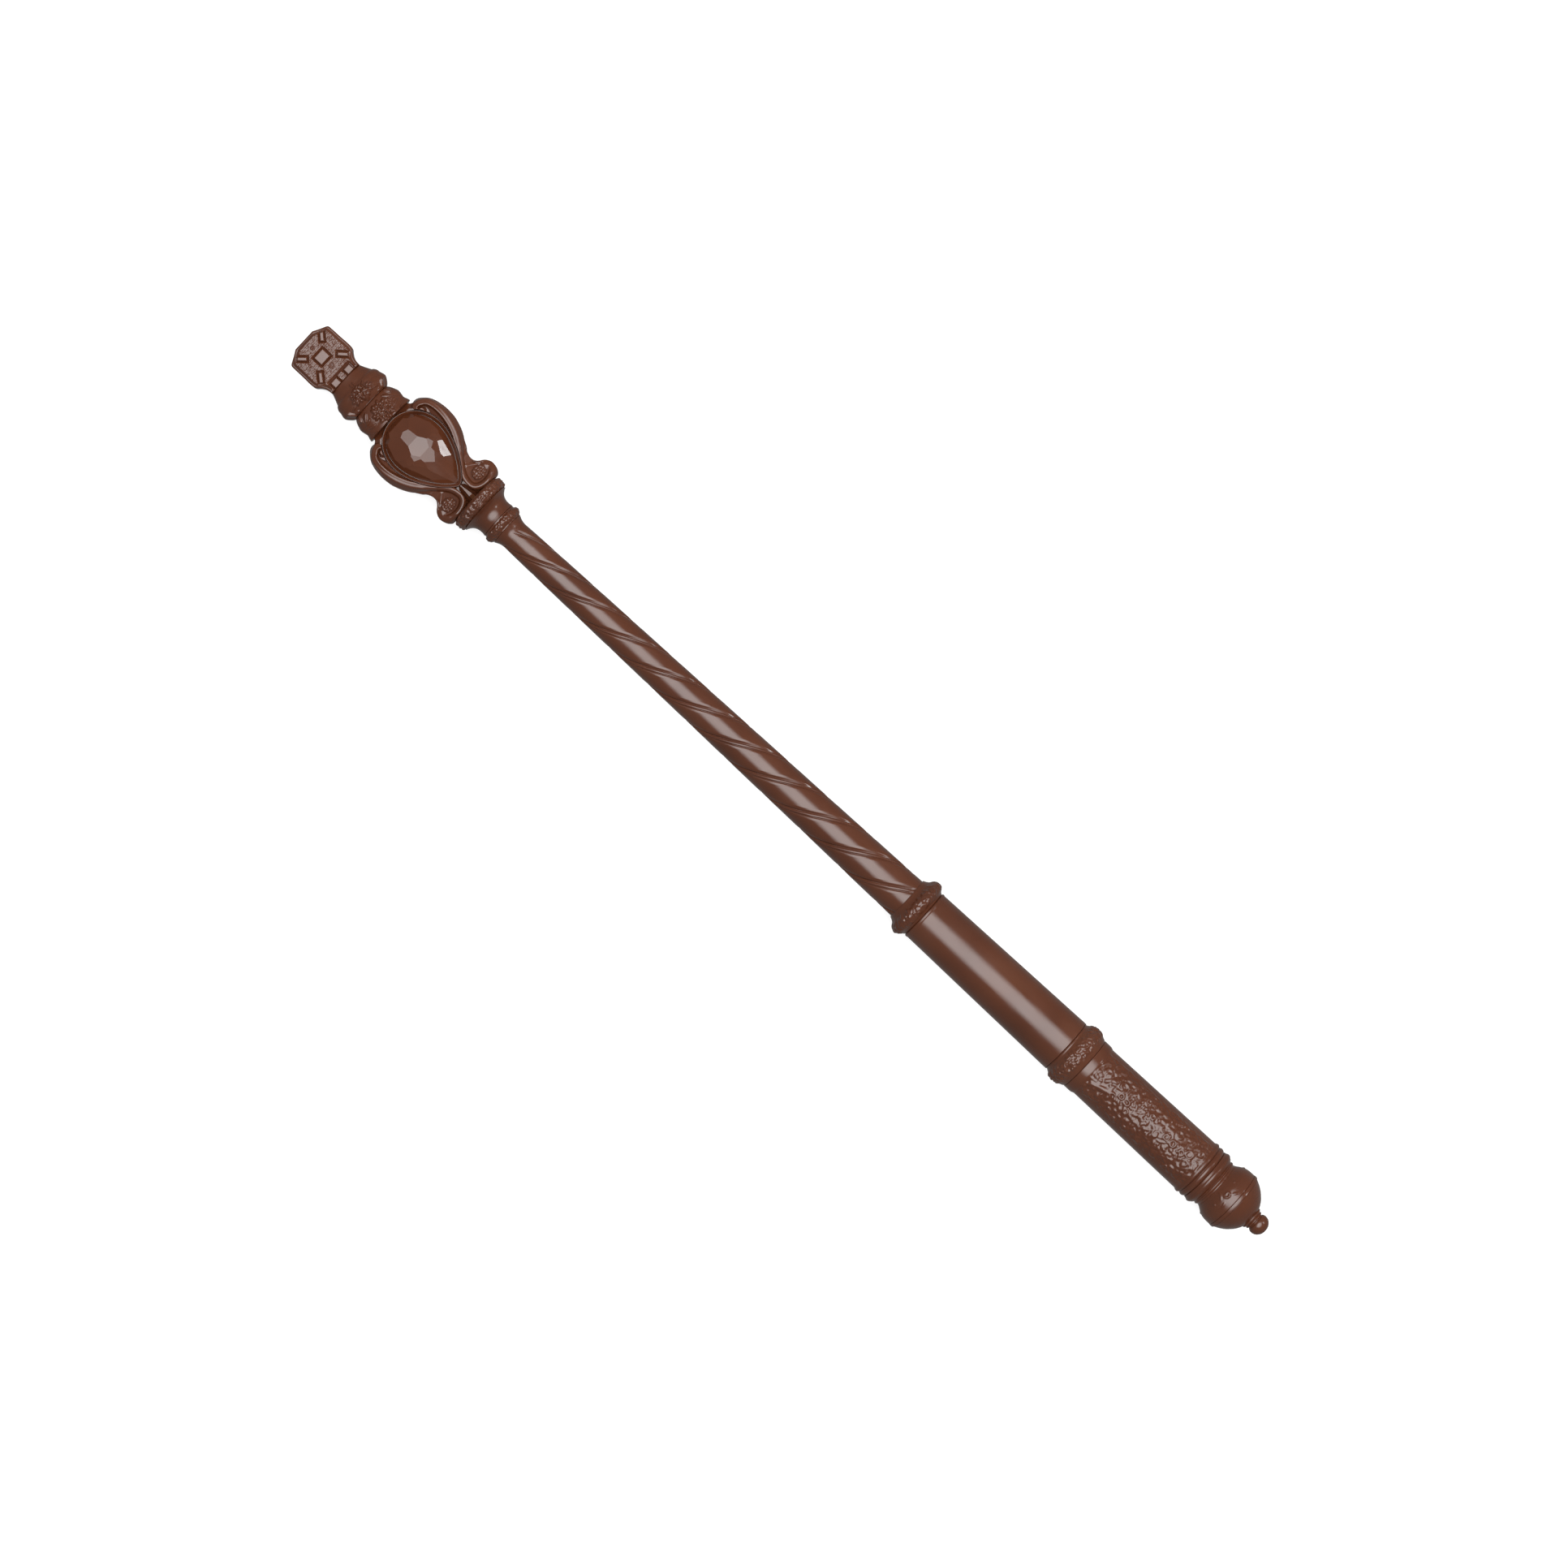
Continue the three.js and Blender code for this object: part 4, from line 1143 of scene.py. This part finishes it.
def dart_top(points):
    """A wedge that rises towards the tail, with a groove down each side."""
    across = abs(points[:, 1])
    edge = np.interp(points[:, 0], (DART_REAR, DART_FRONT), (0.8, 0.3))
    depth = np.interp(across - edge, (-0.12, 0.14, 1.3), (0.0, 0.6, 1.5))
    foot = 0.55 * np.clip(DART_REAR + 1.3 - points[:, 0], 0, 1.3)
    return 2.5 - 0.12 * (points[:, 0] - DART_REAR) - depth - foot


def build_plate():
    """The flat core of the head, with the dart between the two volutes on each face."""
    core = two_faced(*slab(plate_outline(), 0, plate_top, 0.22, 0.2))
    dart = [(DART_REAR, -1.5), (DART_REAR, 1.5), (DART_FRONT, 1.3), (DART_FRONT + 0.8, 0.5),
            (DART_FRONT + 0.8, -0.5), (DART_FRONT, -1.3)]
    ridge, faces = slab(dart, 0.5, dart_top, 0.08, 0.08)
    make_piece("head_plate", *joined([*core, (ridge, faces), (turned_over(ridge), faces)]))

# ------------------------------------------------------------------ leaf collar and capital

LEAF_STEP = 0.12  # between the two leaf pieces' surface points along the wand
DOWEL_BORE = 3.1


def flattened(name, outline, flatness, draw):
    """A turning flattened front to back, with relief drawn in plan pressed onto both faces."""
    outside = eased(fitted(outline, *span(name)), 0.12)
    angles = full_turn(400)
    stations, radii = outside[:, :1], outside[:, 1:]
    y = radii * np.cos(angles)
    relief = Relief(span(name)[1] - stations, y * np.where(np.sin(angles) >= 0, 1, -1))
    draw(relief)
    lift = relief.height * abs(np.sin(angles)) ** 0.5
    z = radii * np.sin(angles) * flatness + np.sign(np.sin(angles)) * lift
    make_piece(name, *bored(np.stack([stations + 0 * y, y, z], -1), angles, DOWEL_BORE))


def cluster(relief, centre, half, seed):
    """A domed cluster of small overlapping blobs, spiralling out from its centre."""
    spacing, size, height = 0.78, 0.52, 0.3
    random = np.random.default_rng(seed)
    share = np.hypot((relief.s - centre[0]) / half[0], (relief.a - centre[1]) / half[1])
    mound = height * smooth_fall(share, 0.2, 1.15)
    blobs = Relief(relief.s, relief.a)
    count = int(math.pi * half[0] * half[1] / spacing**2)
    for k in range(count):
        reach, turn = math.sqrt((k + 0.5) / count), 2.4 * k
        place = (centre[0] + half[0] * reach * math.cos(turn), centre[1] + half[1] * reach * math.sin(turn))
        radius, rise = size * (0.8 + 0.5 * random.random()), size * (0.7 + 0.6 * random.random())
        stretch = 1 + 0.9 * random.random()
        blobs.bead(place, radius, rise, stretch, math.degrees(turn) + 40 * random.random())
    relief.height = np.maximum(relief.height, mound + blobs.height)


def outside_box(s, a, centre, turn, half):
    """Distance beyond the sides of a box turned by so many degrees; negative inside it."""
    c, t = math.cos(math.radians(turn)), math.sin(math.radians(turn))
    along = (s - centre[0]) * c + (a - centre[1]) * t
    across = (a - centre[1]) * c - (s - centre[0]) * t
    return np.maximum(abs(along) - half[0], abs(across) - half[1])


def ledge(relief, centre, turn, half, height, tilt):
    """A raised slab kept level where the ground under it falls by tilt along and outwards."""
    box = outside_box(relief.s, relief.a, centre, turn, half)
    level = height + tilt[0] * (relief.s - centre[0]) + tilt[1] * (abs(relief.a) - abs(centre[1]))
    relief.height = np.maximum(relief.height, np.clip(level, 0, 2) * smooth_fall(box, 0.05, 0.35))


def draw_leaf_collar(relief):
    """A flower-like cluster low on the collar, leaves beside it, and a leaf end at each front corner."""
    for side in (-1, 1):
        relief.leaf((1.2, 3.2 * side), 55 * side, 2.8, 0.6, 0.5, -0.2 * side)
        relief.leaf((3.2, 3.3 * side), 80 * side, 2.6, 0.55, 0.45)
        relief.leaf((5.2, 3.3 * side), 100 * side, 2.6, 0.55, 0.45, 0.1 * side)
        ledge(relief, (1.1, 5.2 * side), 40 * side, (0.8, 0.35), 0.55, (-0.3, 1.0))
        relief.leaf((6.9, 4.4 * side), 100 * side, 1.8, 0.4, 0.4)
    cluster(relief, (4.1, -0.8), (2.7, 3.2), seed=31)
    for turn in range(7):
        relief.leaf((4.1, -0.8), 25 + 51 * turn, 2.3, 0.42, 1.0, 0.2)


def draw_capital(relief):
    """A mottled acanthus cluster at the middle, and a curled leaf at each corner."""
    for side in (-1, 1):
        ledge(relief, (7.75, 5.8 * side), -42 * side, (1.1, 0.42), 0.5, (0.73, 1.1))
        relief.leaf((8.7, 3.6 * side), 95 * side, 2.0, 0.45, 0.4, 0.1 * side)
        relief.leaf((7.2, 3.4 * side), 80 * side, 1.7, 0.4, 0.3)
        relief.leaf((2.0, 0.45 * side), 0, 1.3, 0.3, 0.3)
    cluster(relief, (5.9, -0.1), (2.1, 3.6), seed=32)
    for turn in range(6):
        relief.leaf((6.4, -2.6 + 1.05 * turn), 180 + 9 * (turn - 2.5), 2.3, 0.36, 1.0, 0.1)


def build_leaves():
    collar = flowing((0, 7.6), (0.7, 7.45), (1.8, 7.1), (2.8, 7.25), (4.0, 7.4), (5.3, 7.0), (6.2, 6.6),
                     (7.0, 6.1), step=LEAF_STEP)
    flattened("leaf_collar", collar, 0.6, draw_leaf_collar)
    capital = flowing((0, 6.3), (0.6, 6.95), (1.7, 7.8), (2.6, 8.03), (3.9, 7.7), (4.8, 7.58),
                      (5.6, 7.16), (6.05, 6.69), (6.9, 6.28), (7.8, 5.85), (8.7, 5.47), (9.0, 5.4),
                      step=LEAF_STEP)
    flattened("leaf_capital", capital, 0.66, draw_capital)


# ------------------------------------------------------------------ plaque

CORE_HALF = 2.4  # half the core's thickness
PANEL_FLOOR = 2.42
PANEL_MARGIN = 0.55  # between the edges of core and panel
PANEL_TOP = 3.0  # height of the panel's surface, before its pattern
GROUND = 0.1  # pebbled ground
BLOCK_TOP = 0.36
GROOVE = -0.34  # bottom of the groove round each block
GROOVE_WIDTH = 0.22
# Centre, turn in degrees and half size of each raised block: four bars, a square and two tiles.
BLOCKS = (
    ((2.91, -4.06), 42, (1.3, 0.5)), ((10.25, -4.35), -40, (1.4, 0.5)), ((3.19, 4.0), -42, (1.3, 0.5)),
    ((10.25, 4.26), 40, (1.4, 0.5)), ((6.73, -0.05), 0, (1.4, 1.7)), ((14.2, -2.48), 0, (1.0, 1.08)),
    ((14.2, 2.5), 0, (1.0, 1.08)),
)


def plaque_half_width(stations):
    rear = span("plaque_core")[0]
    profile = flowing((0, 5.35), (0.9, 5.38), (1.7, 5.5), (2.6, 5.86), (3.5, 6.5), (4.3, 7.18),
                      (5.6, 7.45), (8.5, 7.38), (11.2, 7.36), (12.9, 7.25), (13.5, 6.5), (14.3, 4.9),
                      (15.2, 3.3))
    return np.interp(stations - rear, profile[:, 0], profile[:, 1])


def plaque_outline(inwards):
    """Plan of the plaque, drawn in by a margin everywhere but at its rear end."""
    stations = np.linspace(*span("plaque_core"), 120)
    half = plaque_half_width(stations) - inwards
    stations = stations - inwards * np.linspace(0, 1, 120) ** 6
    outline = np.vstack([np.stack([stations, half], -1), np.stack([stations, -half], -1)[::-1]])
    return closed_evenly(outline, 0.2)


def build_plaque():
    core = slab(plaque_outline(0), 0, lambda p: np.full(len(p), CORE_HALF), 0.25, 0.5)
    make_piece("plaque_core", *joined(two_faced(*core)))
    vertices, faces = slab(plaque_outline(PANEL_MARGIN), PANEL_FLOOR, plaque_top, 0.1, 0.2)
    on_both_faces("plaque_panel", vertices, faces)


def pebbled(s, a):
    """Height of small close domes all over the panel."""
    pebbles = Relief(s, a)
    random = np.random.default_rng(5)
    for i in range(30):
        for j in range(-15, 16):
            jitter = 0.25 * (random.random(2) - 0.5)
            centre = (0.3 + 0.52 * i + jitter[0], 0.52 * (j + 0.5 * (i % 2)) + jitter[1])
            pebbles.bead(centre, 0.36, 0.12 * (0.7 + 0.6 * random.random()))
    return pebbles.height


def plaque_top(points):
    """A pebbled ground with the raised blocks, a slot before the tiles, and two rings."""
    s, a = span("plaque_core")[1] - points[:, 0], points[:, 1]
    rim = measure(points, looped(plaque_outline(PANEL_MARGIN)))[0]
    height = GROUND + pebbled(s, a)
    boxes = [outside_box(s, a, *block) for block in BLOCKS]
    slot = outside_box(s, a, (12.7, 0), 0, (0.02, 3.8)) + 0.3
    box = np.min([*boxes, slot], axis=0)
    wall = np.interp(box, (-0.25, -0.05, GROOVE_WIDTH), (BLOCK_TOP, 0.30, GROOVE))
    wall = np.where(abs(box - slot) < 1e-9, np.interp(box, (0.28, 0.5), (GROOVE, -0.1)), wall)
    beyond = GROOVE + 1.25 * (box - GROOVE_WIDTH)
    height = np.where(box < GROOVE_WIDTH, wall, np.minimum(height, beyond))
    rings = Relief(s, a)
    rings.ring((3.3, -0.1), 0.45, 0.3, 0.36)
    rings.ring((10.25, -0.15), 0.6, 0.34, 0.38)
    height = np.where(rings.height > 0, np.maximum(height, rings.height), height)
    bevel = smooth_fall(rim, 0.0, 0.8) * smooth_fall(s, 14.2, 14.6)
    return PANEL_TOP + height * (1 - bevel) - 0.4 * bevel


# ------------------------------------------------------------------ assembly


def finish_metal_and_wood():
    """The pieces inside keep their CAD shapes and get their own materials."""
    finishes = {"steel": STEEL, "brass": BRASS, "birch": BIRCH}
    for node, cad in frame["nodes"].items():
        if not cad.hide_render:
            cad.data.materials.clear()
            cad.data.materials.append(finishes[SLOT_OF[node]])


build_pommel()
build_handle()
build_shaft()
build_neck()
build_plate()
build_gem()
build_bezel()
build_arms()
build_rosettes()
build_leaves()
build_plaque()
finish_metal_and_wood()
